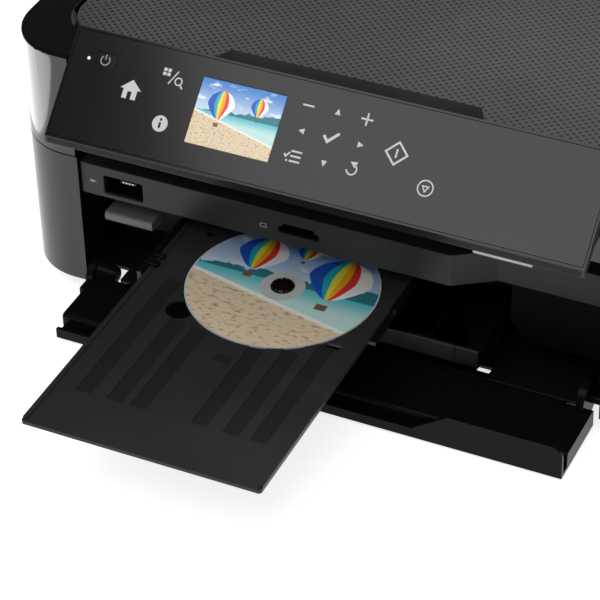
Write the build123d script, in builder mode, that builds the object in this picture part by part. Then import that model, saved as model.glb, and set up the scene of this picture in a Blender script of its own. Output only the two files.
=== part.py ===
"""Disc label printer: an ink-jet copier with a tilting panel, a drop-down cover and a disc tray.

Millimetres, +Z up, +Y towards the rear. The origin is on the desk, in the middle of the footprint
that the printer takes with its disc tray drawn out. Every piece is a separate solid.
"""
import os
from math import atan2, cos, pi, radians, sin

from build123d import *

os.makedirs("parts", exist_ok=True)

# ---------------------------------------------------------------- driving dimensions
body_width = 448.0
body_depth = 385.0
tray_reach = 190.0        # how far the disc tray stands out in front of the side covers
foot_height = 8.0
cover_bottom = 11.0       # lower edge of the side covers
seam_height = 106.4       # where the base ends and the scanner unit begins
seam_gap = 0.8
deck_top = 180.0
lid_top = 187.0
wall = 2.5
front_corner = 41.0       # plan radius of the two front corners
rear_corner = 16.0
side_strip = 50.0         # width of the casing beside the front opening
rear_depth = 85.0         # the rear housing and the gap before it
rear_gap = 6.0            # gap between the scanner unit and the rear housing
play = 0.4                # gap between parts that move past each other
running = 0.05            # radial clearance of a pin or shaft in its hole

front = (tray_reach - body_depth) / 2
back = front + body_depth
half_width = body_width / 2
opening_half = half_width - side_strip
unit_depth = body_depth - rear_depth      # scanner unit, front to back
unit_bottom = seam_height + seam_gap
unit_rear = front + unit_depth
housing_front = unit_rear + rear_gap
inner_half = half_width - wall

# paper and disc path
tray_top = 62.0
tray_thickness = 2.4
tray_bottom = tray_top - tray_thickness
disc_radius = 60.0
disc_thickness = 1.2
disc_hole_radius = 7.5
disc_x = -25.7
disc_y = front - 16.4
tray_left = -109.5
tray_width = 153.0
tray_length = 282.0
tray_right = tray_left + tray_width
tray_front = front - tray_reach
tray_rear = tray_front + tray_length

# tilting panel: v runs up the slope and w out of the face, both from the pivot
panel_tilt = 43.9         # degrees of the face above the horizontal, as it stands open
bay_half = opening_half + 1.0
bay_depth = 24.0
panel_half = bay_half - 2.1
panel_length = 70.3
panel_pivot_y = front + 10.7
panel_pivot_z = 176.1
panel_above = 16.0        # face beyond the pivot, up the slope
panel_face = 10.7         # face above the pivot
panel_lip = 5.0           # upright front edge of the panel
panel_skin = 2.2
panel_low = panel_above - panel_length

# front cover
cover_half = opening_half - 4.4
cover_hinge_y = front + 10.0
cover_hinge_z = 17.0
cover_front = front - 50.0
cover_floor = 2.0
cover_skin = 2.5

# bezel over the opening
bezel_low = 79.3
bezel_high = 102.5
bezel_set = 2.4           # face behind the side covers' front
bezel_recess = 16.2
bezel_step_x = opening_half - 98.0
bezel_step_run = 24.6

# output stacker, on two runners of the base pan
stacker_x = (-104.0, 97.0)
stacker_low = 27.0
stacker_high = 40.0
stacker_front = front - 3.0
stacker_rear = front + 190.0
stacker_wall = 3.0
runner_width = 12.0
runner_gap = 0.3
runner_front = front + 36.5
runner_rear = front + 180.0

# drive train
gear_module = 1.0
roller_teeth = 40
idler_teeth = 16
pinion_teeth = 12
frame_half = half_width - 18.0        # inner faces of the two side frames
frame_thickness = 2.0
feed_roller_y = front + 152.0
feed_radius = 8.0
path_gap = 0.4            # between the disc tray and the rollers under it
roller_top = tray_bottom - path_gap
feed_roller_z = roller_top - feed_radius
exit_radius = 6.2
exit_shaft_radius = 3.0
gear_x = -frame_half + 2.0
gear_width = 6.0
gear_span = gear_module * (roller_teeth + idler_teeth) / 2
exit_roller_z = roller_top - exit_radius
exit_drop = exit_roller_z - feed_roller_z
exit_roller_y = feed_roller_y - ((2 * gear_span) ** 2 - exit_drop**2) ** 0.5

to_exit = atan2(exit_drop, exit_roller_y - feed_roller_y)
roller_step = 2 * pi / roller_teeth
idler_step = 2 * pi / idler_teeth
pinion_step = 2 * pi / pinion_teeth
idler_y = (feed_roller_y + exit_roller_y) / 2
idler_z = (feed_roller_z + exit_roller_z) / 2
pinion_turn = to_exit + 17 * roller_step      # direction of the motor pinion from the feed roller
pinion_span = gear_module * (roller_teeth + pinion_teeth) / 2
pinion_y = feed_roller_y + pinion_span * cos(pinion_turn)
pinion_z = feed_roller_z + pinion_span * sin(pinion_turn)
stub_radius = 2.5

rail_y = front + 157.0
rail_z = 92.0
rail_radius = 5.0

# hinge lines of the scanner unit and of the document lid
hinge_y = unit_rear - 9.0
hinge_z = 170.0
unit_pin_radius = 3.0
lid_hinge_y = unit_rear - 7.0
lid_hinge_z = 181.0
lid_pin_radius = 2.0


# ---------------------------------------------------------------- shared forms
def slab(x, y, z, mode=Mode.ADD):
    """A rectangular block that spans the given (low, high) pairs."""
    with Locations(((x[0] + x[1]) / 2, (y[0] + y[1]) / 2, (z[0] + z[1]) / 2)):
        Box(x[1] - x[0], y[1] - y[0], z[1] - z[0], mode=mode)


def rod_x(x, y, z, radius, mode=Mode.ADD):
    """A round bar along X from x[0] to x[1], its axis at y and z."""
    with Locations(((x[0] + x[1]) / 2, y, z)):
        Cylinder(radius, x[1] - x[0], rotation=(0, 90, 0), mode=mode)


def rod_y(x, y, z, radius, mode=Mode.ADD):
    """A round bar along Y from y[0] to y[1], its axis at x and z."""
    with Locations((x, (y[0] + y[1]) / 2, z)):
        Cylinder(radius, y[1] - y[0], rotation=(90, 0, 0), mode=mode)


def rod_z(x, y, z, radius, mode=Mode.ADD):
    """A round bar along Z from z[0] to z[1], its axis at x and y."""
    with Locations((x, y, (z[0] + z[1]) / 2)):
        Cylinder(radius, z[1] - z[0], mode=mode)


def outline(plane, depth, radius_rear, inset=0.0):
    """Plan outline of the casing: a rectangle with its front and rear corners rounded."""
    with BuildSketch(plane) as shape:
        with Locations((0, front + depth / 2)):
            Rectangle(body_width - 2 * inset, depth - 2 * inset)
        corners = shape.vertices().group_by(Axis.Y)
        fillet(corners[0], front_corner - inset)
        if radius_rear > inset:
            rear = shape.vertices().group_by(Axis.Y)[-1]
            fillet(rear, radius_rear - inset)
    return shape.sketch


def bar_profile(points, x):
    """A solid with the given (y, z) outline, from x[0] to x[1]."""
    with BuildSketch(Plane.YZ.offset(x[0])) as shape:
        with BuildLine():
            Polyline(*points, close=True)
        make_face()
    return extrude(shape.sketch, amount=x[1] - x[0], mode=Mode.PRIVATE)


def gear_outline(plane, teeth, phase=0.0):
    """Spur gear outline with straight-flanked teeth, thinned a little for backlash."""
    pitch = gear_module * teeth / 2
    tip = pitch + 0.9 * gear_module
    root = pitch - 1.2 * gear_module
    step = 2 * pi / teeth
    ring = []
    for tooth in range(teeth):
        middle = phase + tooth * step
        for radius, share in ((root, -0.30), (tip, -0.12), (tip, 0.12), (root, 0.30)):
            angle = middle + share * step
            ring.append((radius * cos(angle), radius * sin(angle)))
    with BuildSketch(plane) as shape:
        with BuildLine():
            Polyline(*ring, close=True)
        make_face()
    return shape.sketch


def gear_plane(y, z):
    """The plane of the gear train at one shaft, looking along +X."""
    return Plane(origin=(gear_x, y, z), x_dir=(0, 1, 0), z_dir=(1, 0, 0))


tilt = radians(panel_tilt)


def panel_section(x):
    """Plane across the panel at x: its own x runs up the slope, its y out of the face."""
    return Plane(
        origin=(x, panel_pivot_y, panel_pivot_z),
        x_dir=(0, cos(tilt), sin(tilt)),
        z_dir=(1, 0, 0),
    )


def panel_plane(height):
    """Plane parallel to the panel's face at the given height above its pivot."""
    return Plane(
        origin=(0, panel_pivot_y - sin(tilt) * height, panel_pivot_z + cos(tilt) * height),
        x_dir=(1, 0, 0),
        z_dir=(0, -sin(tilt), cos(tilt)),
    )


# ---------------------------------------------------------------- base pan and feet
pan_front = front + 22.4
pan_floor = 2.5
pan_tongue_x = (-opening_half + 18.5, opening_half - 16.8)   # between the front cover's ears
pan_tongue_front = cover_hinge_y - 0.5
drain_x = (88.8, 97.5)
drain_y = (front + 15.0, front + 20.5)
pan_inset = 0.6
pan_rib = 6.0

with BuildPart() as base_pan:
    casing = outline(Plane.XY.offset(foot_height), body_depth, rear_corner, wall + pan_inset)
    extrude(casing, amount=pan_floor + pan_rib)
    slab((-half_width, half_width), (front - 1, pan_front), (0, 40), mode=Mode.SUBTRACT)
    slab(pan_tongue_x, (pan_tongue_front, pan_front + 1), (foot_height, foot_height + pan_floor))
    slab(drain_x, drain_y, (0, 40), mode=Mode.SUBTRACT)
    hollow = outline(Plane.XY.offset(foot_height + pan_floor), body_depth, rear_corner, 2 * wall + pan_inset)
    extrude(hollow, amount=pan_rib + 1, mode=Mode.SUBTRACT)
    for x in (stacker_x[0] + 2, stacker_x[1] - 2 - runner_width):
        slab((x, x + runner_width), (runner_front, runner_rear), (foot_height, stacker_low - runner_gap))
base_pan.part.label = "base_pan"
export_step(base_pan.part, "parts/base_pan.step")

foot_radius = 9.0
foot_x = half_width - 34.0
foot_front = front + 62.0
foot_rear = back - 40.0

with BuildPart() as feet:
    for x in (-foot_x, foot_x):
        for y in (foot_front, foot_rear):
            rod_z(x, y, (0, foot_height), foot_radius)
    chamfer(feet.faces().sort_by(Axis.Z)[:4].edges(), 1.0)
feet.part.label = "feet"
export_step(feet.part, "parts/feet.step")


# ---------------------------------------------------------------- casing of the base
split_half = half_width - 74.0        # the rear cover reaches this far to each side
return_depth = 30.0       # the side covers turn in along the opening this far
hinge_pin_radius = 3.0


def side_cover(side):
    """One side cover: front strip, rounded corner, side wall and rear corner."""
    low = outline(Plane.XY.offset(cover_bottom), body_depth, rear_corner)
    extrude(low, amount=deck_top - wall - cover_bottom)
    inside = outline(Plane.XY.offset(cover_bottom - 1), body_depth, rear_corner, wall)
    extrude(inside, amount=deck_top, mode=Mode.SUBTRACT)
    slab((-half_width, half_width), (front - 1, housing_front), (seam_height, deck_top), mode=Mode.SUBTRACT)
    inner_edge = (-half_width, opening_half) if side > 0 else (-opening_half, half_width)
    slab(inner_edge, (front - 1, front + front_corner), (0, deck_top), mode=Mode.SUBTRACT)
    far_side = (-half_width - 1, split_half) if side > 0 else (-split_half, half_width + 1)
    slab(far_side, (front, back + 1), (0, deck_top), mode=Mode.SUBTRACT)
    turn = (opening_half, opening_half + wall) if side > 0 else (-opening_half - wall, -opening_half)
    slab(turn, (front, front + return_depth), (cover_bottom, seam_height))
    rod_x(
        (turn[0] - 1, turn[1] + 1),
        cover_hinge_y,
        cover_hinge_z,
        hinge_pin_radius + running,
        mode=Mode.SUBTRACT,
    )


with BuildPart() as left_side_cover:
    side_cover(-1)
left_side_cover.part.label = "left_side_cover"
export_step(left_side_cover.part, "parts/left_side_cover.step")

with BuildPart() as right_side_cover:
    side_cover(1)
right_side_cover.part.label = "right_side_cover"
export_step(right_side_cover.part, "parts/right_side_cover.step")

# rear housing: the rear wall and the top deck behind the scanner unit, with the paper slot
slot_half = 116.0
slot_front = housing_front + 12.0
slot_rear = slot_front + 26.0
inlet_x = 30.0 - split_half
inlet_z = 40.0
inlet_width = 28.0
inlet_height = 22.0
usb_rear_x = split_half - 40.0
usb_rear_z = 22.0
usb_rear_width = 13.0
usb_rear_height = 12.0

# the lid over the paper slot, lying shut on the deck between two lugs
support_hinge_y = back - 9.0
support_thickness = 3.2
support_low = deck_top + play
support_half = slot_half + 5
support_pin_radius = 2.0
support_barrel = 3.2
support_pin_z = deck_top + support_barrel + play / 2

with BuildPart() as rear_cover:
    deck = outline(Plane.XY.offset(deck_top - wall), body_depth, rear_corner)
    extrude(deck, amount=wall)
    slab((-half_width, half_width), (front - 1, housing_front), (0, lid_top), mode=Mode.SUBTRACT)
    slab((-split_half, split_half), (back - wall, back), (cover_bottom, deck_top - wall))
    slab(
        (-inner_half + 1, inner_half - 1),
        (housing_front, housing_front + wall),
        (seam_height + 20, deck_top - wall),
    )
    slab(
        (-slot_half, slot_half),
        (slot_front, slot_rear),
        (deck_top - 20, deck_top + 1),
        mode=Mode.SUBTRACT,
    )
    slab(
        (inlet_x - inlet_width / 2, inlet_x + inlet_width / 2),
        (back - wall - 1, back + 1),
        (inlet_z - inlet_height / 2, inlet_z + inlet_height / 2),
        mode=Mode.SUBTRACT,
    )
    slab(
        (usb_rear_x - usb_rear_width / 2, usb_rear_x + usb_rear_width / 2),
        (back - wall - 1, back + 1),
        (usb_rear_z - usb_rear_height / 2, usb_rear_z + usb_rear_height / 2),
        mode=Mode.SUBTRACT,
    )
    for row in range(5):
        slab((-40, 60), (back - wall - 1, back + 1), (70 + 9 * row, 73 + 9 * row), mode=Mode.SUBTRACT)
    fillet(
        rear_cover.faces().sort_by(Axis.Z)[-1].outer_wire().edges().filter_by(Axis.X).sort_by(Axis.Y)[-1],
        2.0,
    )
    for side in (-1, 1):
        x = side * (support_half - 14)
        slab(
            (x - 4, x + 4),
            (support_hinge_y - support_barrel, support_hinge_y + support_barrel),
            (deck_top - wall, support_pin_z),
        )
        rod_x((x - 4, x + 4), support_hinge_y, support_pin_z, support_barrel)
        rod_x((x - 9, x + 9), support_hinge_y, support_pin_z, support_pin_radius)
rear_cover.part.label = "rear_cover"
export_step(rear_cover.part, "parts/rear_cover.step")

# ---------------------------------------------------------------- bezel, card and USB sockets
bezel_face = front + bezel_set
bezel_half = opening_half - play
bezel_ledge = front + 36.0
usb_x = 30.4 - opening_half
usb_width = 27.0
usb_height = 13.0
usb_z = 89.3
card_x = -23.5
card_width = 27.0
card_z = 90.4
card_height = 7.2
socket_gap = 0.3

with BuildPart() as front_bezel:
    with BuildSketch(Plane.XY.offset(bezel_low)):
        with BuildLine():
            Polyline(
                (-bezel_half, bezel_face),
                (bezel_step_x, bezel_face),
                (bezel_step_x + bezel_step_run, bezel_face + bezel_recess),
                (bezel_half, bezel_face + bezel_recess),
                (bezel_half, bezel_ledge),
                (-bezel_half, bezel_ledge),
                close=True,
            )
        make_face()
    extrude(amount=bezel_high - bezel_low)
    corner = front_bezel.edges().filter_by(Axis.Z).sort_by_distance((bezel_step_x, bezel_face, bezel_high))[0]
    fillet(corner, 4.0)
    with BuildSketch(Plane.XY.offset(bezel_low - 1)):
        with BuildLine():
            Polyline(
                (-bezel_half + wall, bezel_face + wall),
                (bezel_step_x - 1.0, bezel_face + wall),
                (bezel_step_x + bezel_step_run - 1.0, bezel_face + bezel_recess + wall),
                (bezel_half - wall, bezel_face + bezel_recess + wall),
                (bezel_half - wall, bezel_ledge + 1),
                (-bezel_half + wall, bezel_ledge + 1),
                close=True,
            )
        make_face()
    extrude(amount=bezel_high - bezel_low - wall + 1, mode=Mode.SUBTRACT)
    slab(
        (usb_x - usb_width / 2, usb_x + usb_width / 2),
        (bezel_face - 1, bezel_face + wall + 1),
        (usb_z - usb_height / 2, usb_z + usb_height / 2),
        mode=Mode.SUBTRACT,
    )
    slab(
        (card_x - card_width / 2, card_x + card_width / 2),
        (bezel_face - 1, bezel_face + wall + 1),
        (card_z - card_height / 2, card_z + card_height / 2 - 2.4),
        mode=Mode.SUBTRACT,
    )
    slab(
        (card_x - card_width / 2 + 3, card_x + card_width / 2 - 3),
        (bezel_face - 1, bezel_face + wall + 1),
        (card_z, card_z + card_height / 2),
        mode=Mode.SUBTRACT,
    )
front_bezel.part.label = "front_bezel"
export_step(front_bezel.part, "parts/front_bezel.step")


def socket(x, z, width, height, depth, tongue):
    """A socket shell behind the bezel, open to the front, with a contact tongue inside."""
    y = bezel_face + wall + socket_gap
    shell = 1.2
    slab(
        (x - width / 2 - shell, x + width / 2 + shell),
        (y, y + depth),
        (z - height / 2 - shell, z + height / 2 + shell),
    )
    slab(
        (x - width / 2, x + width / 2),
        (y - 1, y + depth - shell),
        (z - height / 2, z + height / 2),
        mode=Mode.SUBTRACT,
    )
    slab((x - tongue / 2, x + tongue / 2), (y + 4, y + depth), (z - 0.7, z + 0.7))


with BuildPart() as card_socket:
    socket(card_x, card_z, card_width - 1, card_height - 1, 24.0, 20.0)
card_socket.part.label = "card_socket"
export_step(card_socket.part, "parts/card_socket.step")

with BuildPart() as front_usb_socket:
    socket(usb_x, usb_z, usb_width - 1, usb_height - 1, 18.0, 11.0)
front_usb_socket.part.label = "front_usb_socket"
export_step(front_usb_socket.part, "parts/front_usb_socket.step")

# ---------------------------------------------------------------- inner walls beside the opening
trim_face = front + 27.0
trim_left = opening_half - 68.0
trim_low = 32.0
trim_chamfer = 12.0
trim_rear = front + 58.0
trim_edge = opening_half - play

with BuildPart() as right_inner_wall:
    with BuildSketch(Plane.XZ.offset(-trim_face)):
        with BuildLine():
            Polyline(
                (trim_left, bezel_low - play),
                (trim_left, trim_low + trim_chamfer),
                (trim_left + trim_chamfer, trim_low),
                (trim_edge, trim_low),
                (trim_edge, bezel_low - play),
                close=True,
            )
        make_face()
    extrude(amount=-(trim_rear - trim_face))
    slab(
        (trim_left + wall, trim_edge + 1),
        (trim_face + wall, trim_rear + 1),
        (trim_low + wall, bezel_low - wall),
        mode=Mode.SUBTRACT,
    )
right_inner_wall.part.label = "right_inner_wall"
export_step(right_inner_wall.part, "parts/right_inner_wall.step")

lever_x = (12.5 - opening_half, 46.0 - opening_half)
lever_front = front + 7.4
lever_low = 57.3
lever_high = 63.8
lever_pivot_y = front + 70.0
lever_pivot_z = 60.5
lever_pin_radius = 2.5
lever_box_front = front + 44.0
lever_box_rear = front + 58.0
lever_box_low = 30.0
lever_box_x = (-trim_edge, lever_x[1] + 10.0)
lever_skirt = 6.0         # depth of the wall that stands on the base pan

with BuildPart() as lever_housing:
    slab(lever_box_x, (lever_box_rear - lever_skirt, lever_box_rear), (foot_height + pan_floor, lever_box_low + 2))
    slab(lever_box_x, (lever_box_front, lever_box_rear), (lever_box_low, bezel_low - play))
    slab(
        (lever_x[0] - 2, lever_x[1] + 2),
        (lever_box_front - 1, lever_box_rear + 1),
        (lever_pivot_z - 14.5, lever_pivot_z + 11.5),
        mode=Mode.SUBTRACT,
    )
    for x in (lever_x[0] - 6, lever_x[1] + 2.5):
        slab((x, x + 3.5), (lever_box_rear, lever_pivot_y + 5), (lever_pivot_z - 10.5, lever_pivot_z + 9.5))
        rod_x((x - 1, x + 5), lever_pivot_y, lever_pivot_z, lever_pin_radius + running, mode=Mode.SUBTRACT)
lever_housing.part.label = "lever_housing"
export_step(lever_housing.part, "parts/lever_housing.step")

with BuildPart() as position_lever:
    slab(lever_x, (lever_front, lever_pivot_y + 3), (lever_low + 1.5, lever_high))
    slab((lever_x[0], lever_x[1]), (lever_front, lever_front + 14), (lever_low, lever_high))
    tip = position_lever.edges().filter_by(Axis.X).group_by(Axis.Y)[0]
    fillet(tip, 1.6)
    rod_x((lever_x[0] - 5.5, lever_x[1] + 5.5), lever_pivot_y, lever_pivot_z, lever_pin_radius)
position_lever.part.label = "position_lever"
export_step(position_lever.part, "parts/position_lever.step")

# ---------------------------------------------------------------- side frames, rail and rollers
frame_front = front + 60.0
frame_rear = unit_rear - 4.0
frame_low = foot_height + pan_floor
frame_high = 104.0
bush_radius = 6.0


def side_frame(side):
    """A side plate that carries the rail, the rollers and a hinge post of the scanner unit."""
    x = sorted((side * frame_half, side * (frame_half + frame_thickness)))
    slab(x, (frame_front, frame_rear), (frame_low, frame_high))
    through = (x[0] - 1, x[1] + 1)
    rod_x(through, feed_roller_y, feed_roller_z, 4.0 + running, mode=Mode.SUBTRACT)
    rod_x(through, exit_roller_y, exit_roller_z, exit_shaft_radius + running, mode=Mode.SUBTRACT)
    rod_x(through, rail_y, rail_z, rail_radius, mode=Mode.SUBTRACT)


with BuildPart() as left_frame:
    side_frame(-1)
    rod_x((-frame_half - frame_thickness, gear_x + gear_width + 1.5), idler_y, idler_z, stub_radius)
left_frame.part.label = "left_frame"
export_step(left_frame.part, "parts/left_frame.step")

with BuildPart() as right_frame:
    side_frame(1)
right_frame.part.label = "right_frame"
export_step(right_frame.part, "parts/right_frame.step")

with BuildPart() as carriage_rail:
    rod_x((-frame_half - frame_thickness, frame_half + frame_thickness), rail_y, rail_z, rail_radius)
carriage_rail.part.label = "carriage_rail"
export_step(carriage_rail.part, "parts/carriage_rail.step")

paper_left = -130.0
paper_right = 94.0
journal_radius = 4.0

with BuildPart() as feed_roller:
    rod_x((paper_left, paper_right), feed_roller_y, feed_roller_z, feed_radius)
    rod_x((-frame_half - 1.5, frame_half + 1.5), feed_roller_y, feed_roller_z, journal_radius)
    plane = gear_plane(feed_roller_y, feed_roller_z)
    extrude(gear_outline(plane, roller_teeth, to_exit), amount=gear_width)
feed_roller.part.label = "feed_roller"
export_step(feed_roller.part, "parts/feed_roller.step")

ring_width = 12.0
ring_count = 5

with BuildPart() as exit_roller:
    rod_x((-frame_half - 1.5, frame_half + 1.5), exit_roller_y, exit_roller_z, exit_shaft_radius)
    ring_pitch = (paper_right - paper_left - ring_width) / (ring_count - 1)
    for ring in range(ring_count):
        ring_low = paper_left + ring * ring_pitch
        rod_x((ring_low, ring_low + ring_width), exit_roller_y, exit_roller_z, exit_radius)
    plane = gear_plane(exit_roller_y, exit_roller_z)
    extrude(gear_outline(plane, roller_teeth, to_exit + pi), amount=gear_width)
exit_roller.part.label = "exit_roller"
export_step(exit_roller.part, "parts/exit_roller.step")

with BuildPart() as idler_gear:
    plane = gear_plane(idler_y, idler_z)
    extrude(gear_outline(plane, idler_teeth, to_exit + pi + idler_step / 2), amount=gear_width)
    rod_x(
        (gear_x - 1, gear_x + gear_width + 1),
        idler_y,
        idler_z,
        stub_radius + running,
        mode=Mode.SUBTRACT,
    )
idler_gear.part.label = "idler_gear"
export_step(idler_gear.part, "parts/idler_gear.step")

motor_radius = 15.0
motor_length = 34.0
motor_shaft_radius = 1.6

with BuildPart() as motor_pinion:
    plane = gear_plane(pinion_y, pinion_z)
    extrude(gear_outline(plane, pinion_teeth, pinion_turn + pi + pinion_step / 2), amount=gear_width)
    rod_x((gear_x, gear_x + gear_width + 8), pinion_y, pinion_z, motor_shaft_radius)
motor_pinion.part.label = "motor_pinion"
export_step(motor_pinion.part, "parts/motor_pinion.step")

with BuildPart() as feed_motor:
    motor_low = gear_x + gear_width + 1.2
    rod_x((motor_low, motor_low + motor_length), pinion_y, pinion_z, motor_radius)
    rod_x(
        (motor_low - 1, motor_low + 10),
        pinion_y,
        pinion_z,
        motor_shaft_radius + running,
        mode=Mode.SUBTRACT,
    )
    slab(
        (motor_low, motor_low + motor_length),
        (pinion_y - 10, pinion_y + 10),
        (frame_low, pinion_z - motor_radius + 3),
    )
feed_motor.part.label = "feed_motor"
export_step(feed_motor.part, "parts/feed_motor.step")

# ---------------------------------------------------------------- transport frame, platen and disc guide
deck_low = 43.0
deck_high = 46.0
deck_front = front + 62.0
deck_rear = feed_roller_y - feed_radius - 2.0
tab_depth = 11.0

with BuildPart() as transport_frame:
    slab((paper_left - 4, paper_right - 2), (deck_front, deck_rear), (deck_low, deck_high))
    slab((-frame_half, frame_half), (deck_front, deck_front + tab_depth), (deck_low, deck_high))
    slab((-frame_half, frame_half), (deck_front, deck_front + 2.5), (deck_low - 2, deck_high))
transport_frame.part.label = "transport_frame"
export_step(transport_frame.part, "parts/transport_frame.step")

platen_front = exit_roller_y + exit_radius + 2.5
platen_rear = feed_roller_y - feed_radius - 2.5
platen_top = roller_top - 0.2
rib_width = 1.6
rib_count = 12

with BuildPart() as platen:
    slab((paper_left + 2, paper_right - 2), (platen_front, platen_rear), (deck_high, platen_top - 2))
    slab(
        (paper_left + 4, paper_right - 4),
        (platen_front + 2, platen_rear - 2),
        (deck_high - 1, platen_top - 4),
        mode=Mode.SUBTRACT,
    )
    slab(
        (paper_left + 6, paper_right - 6),
        (platen_front + 8, platen_rear - 8),
        (platen_top - 3, platen_top),
        mode=Mode.SUBTRACT,
    )
    rib_pitch = (paper_right - paper_left - 10) / (rib_count - 1)
    for rib in range(rib_count):
        rib_x = paper_left + 5 + rib * rib_pitch
        slab(
            (rib_x - rib_width / 2, rib_x + rib_width / 2),
            (platen_front, platen_front + 8),
            (platen_top - 2, platen_top),
        )
        slab(
            (rib_x - rib_width / 2, rib_x + rib_width / 2),
            (platen_rear - 8, platen_rear),
            (platen_top - 2, platen_top),
        )
platen.part.label = "platen"
export_step(platen.part, "parts/platen.step")

guide_front = front - 41.0
guide_rear = exit_roller_y - exit_radius - 2.0
guide_top = tray_bottom - path_gap
guide_floor = 2.8
guide_wall = 3.0
guide_left = tray_left - play
guide_right = tray_right + play
rim_height = 0.8
tab_gap = 0.3
tab_reach = 5.5
guide_tabs = ((-31.0, -25.5), (-22.0, -18.0), (40.0, 46.0))      # front to back, from the front face

with BuildPart() as disc_guide:
    slab(
        (guide_left - guide_wall, guide_right + guide_wall),
        (guide_front, guide_rear),
        (guide_top - guide_floor, guide_top),
    )
    slab((guide_left - guide_wall, guide_left), (guide_front, guide_rear), (guide_top, tray_top + 3.0))
    slab(
        (guide_right, guide_right + guide_wall),
        (guide_front + 30, guide_rear),
        (guide_top, tray_top - 0.5),
    )
    for low, high in guide_tabs:
        slab(
            (guide_left - guide_wall, guide_left + tab_reach),
            (front + low, front + high),
            (tray_top + rim_height + tab_gap, tray_top + 3.0),
        )
    slab(
        (tray_left + 29.5, tray_right - 29.5),
        (guide_front + 12, front + 20),
        (guide_top - guide_floor - 1, guide_top + 1),
        mode=Mode.SUBTRACT,
    )
    for x in (tray_left + 5.5, tray_right - 9.5):
        slab((x - 6, x + 6), (deck_front, guide_rear), (deck_high, guide_top - guide_floor))
disc_guide.part.label = "disc_guide"
export_step(disc_guide.part, "parts/disc_guide.step")

# star wheels press the sheet on the exit roller; they stand raised here, clear of the disc tray
wheel_radius = 4.0
wheel_y = exit_roller_y - 3.0
wheel_z = tray_top + 2.6 + wheel_radius
wheel_width = 1.0
axle_radius = 1.2
star_beam_front = exit_roller_y - 10.0
star_beam_rear = exit_roller_y + 1.5

with BuildPart() as star_wheel_beam:
    slab((-frame_half, frame_half), (star_beam_front, star_beam_rear), (wheel_z - 1.8, wheel_z + 12))
    slab(
        (-frame_half - 1, gear_x + gear_width + 2),
        (star_beam_front - 1, star_beam_rear + 1),
        (0, wheel_z + 7),
        mode=Mode.SUBTRACT,
    )
    for ring in range(ring_count):
        middle = paper_left + ring * ring_pitch + ring_width / 2
        slab(
            (middle - 3, middle + 3),
            (star_beam_front + 1.5, star_beam_rear + 1),
            (wheel_z - 5, wheel_z + 5.5),
            mode=Mode.SUBTRACT,
        )
    rod_x((paper_left - 6, paper_right + 6), wheel_y, wheel_z, axle_radius + running, mode=Mode.SUBTRACT)
star_wheel_beam.part.label = "star_wheel_beam"
export_step(star_wheel_beam.part, "parts/star_wheel_beam.step")

with BuildPart() as star_wheels:
    rod_x((paper_left - 5.5, paper_right + 5.5), wheel_y, wheel_z, axle_radius)
    for ring in range(ring_count):
        middle = paper_left + ring * ring_pitch + ring_width / 2
        rod_x((middle - wheel_width / 2, middle + wheel_width / 2), wheel_y, wheel_z, wheel_radius)
star_wheels.part.label = "star_wheels"
export_step(star_wheels.part, "parts/star_wheels.step")

# ---------------------------------------------------------------- carriage, ink and its drive
carriage_width = 120.0
carriage_right = frame_half - 6.0
carriage_left = carriage_right - carriage_width
carriage_front = star_beam_rear + 2.0
carriage_rear = rail_y - 9.0
carriage_low = 66.0
carriage_high = 104.0
carriage_wall = 2.0
head_gap = 2.4            # nozzle face above the disc tray
bearing_rear = rail_y + 7.0

with BuildPart() as carriage:
    slab((carriage_left, carriage_right), (carriage_front, carriage_rear), (carriage_low, carriage_high))
    slab(
        (carriage_left + carriage_wall, carriage_right - carriage_wall),
        (carriage_front + carriage_wall, carriage_rear - carriage_wall),
        (carriage_low + carriage_wall, carriage_high + 1),
        mode=Mode.SUBTRACT,
    )
    slab((carriage_left + 15, carriage_right - 15), (carriage_rear, bearing_rear), (rail_z - 9, rail_z + 9))
    rod_x((carriage_left, carriage_right), rail_y, rail_z, rail_radius + running, mode=Mode.SUBTRACT)
carriage.part.label = "carriage"
export_step(carriage.part, "parts/carriage.step")

with BuildPart() as print_head:
    slab(
        (carriage_left + 20, carriage_right - 20),
        (carriage_front + 10, carriage_rear - 8),
        (tray_top + head_gap, carriage_low),
    )
print_head.part.label = "print_head"
export_step(print_head.part, "parts/print_head.step")

cartridge_count = 6
cartridge_gap = 0.5
cartridge_top = 117.0
cartridge_pitch = (carriage_width - 2 * carriage_wall - cartridge_gap) / cartridge_count

with BuildPart() as ink_cartridges:
    for slot in range(cartridge_count):
        low = carriage_left + carriage_wall + cartridge_gap + slot * cartridge_pitch
        high = low + cartridge_pitch - cartridge_gap
        slab(
            (low, high),
            (carriage_front + carriage_wall + 0.5, carriage_rear - carriage_wall - 0.5),
            (carriage_low + carriage_wall, cartridge_top - 8),
        )
        slab(
            (low + 1, high - 1),
            (carriage_front + carriage_wall + 6, carriage_rear - carriage_wall - 12),
            (cartridge_top - 8, cartridge_top),
        )
ink_cartridges.part.label = "ink_cartridges"
export_step(ink_cartridges.part, "parts/ink_cartridges.step")

beam_y = rail_y + 19.0
beam_thickness = 2.0
beam_low = 66.0
beam_high = 112.0
pulley_x = 26.0 - frame_half
idler_pulley_x = frame_half - 16.0
pulley_y = rail_y + 13.0
pulley_radius = 4.2
belt_thickness = 1.0
belt_low = 98.0
belt_high = 103.0

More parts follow.
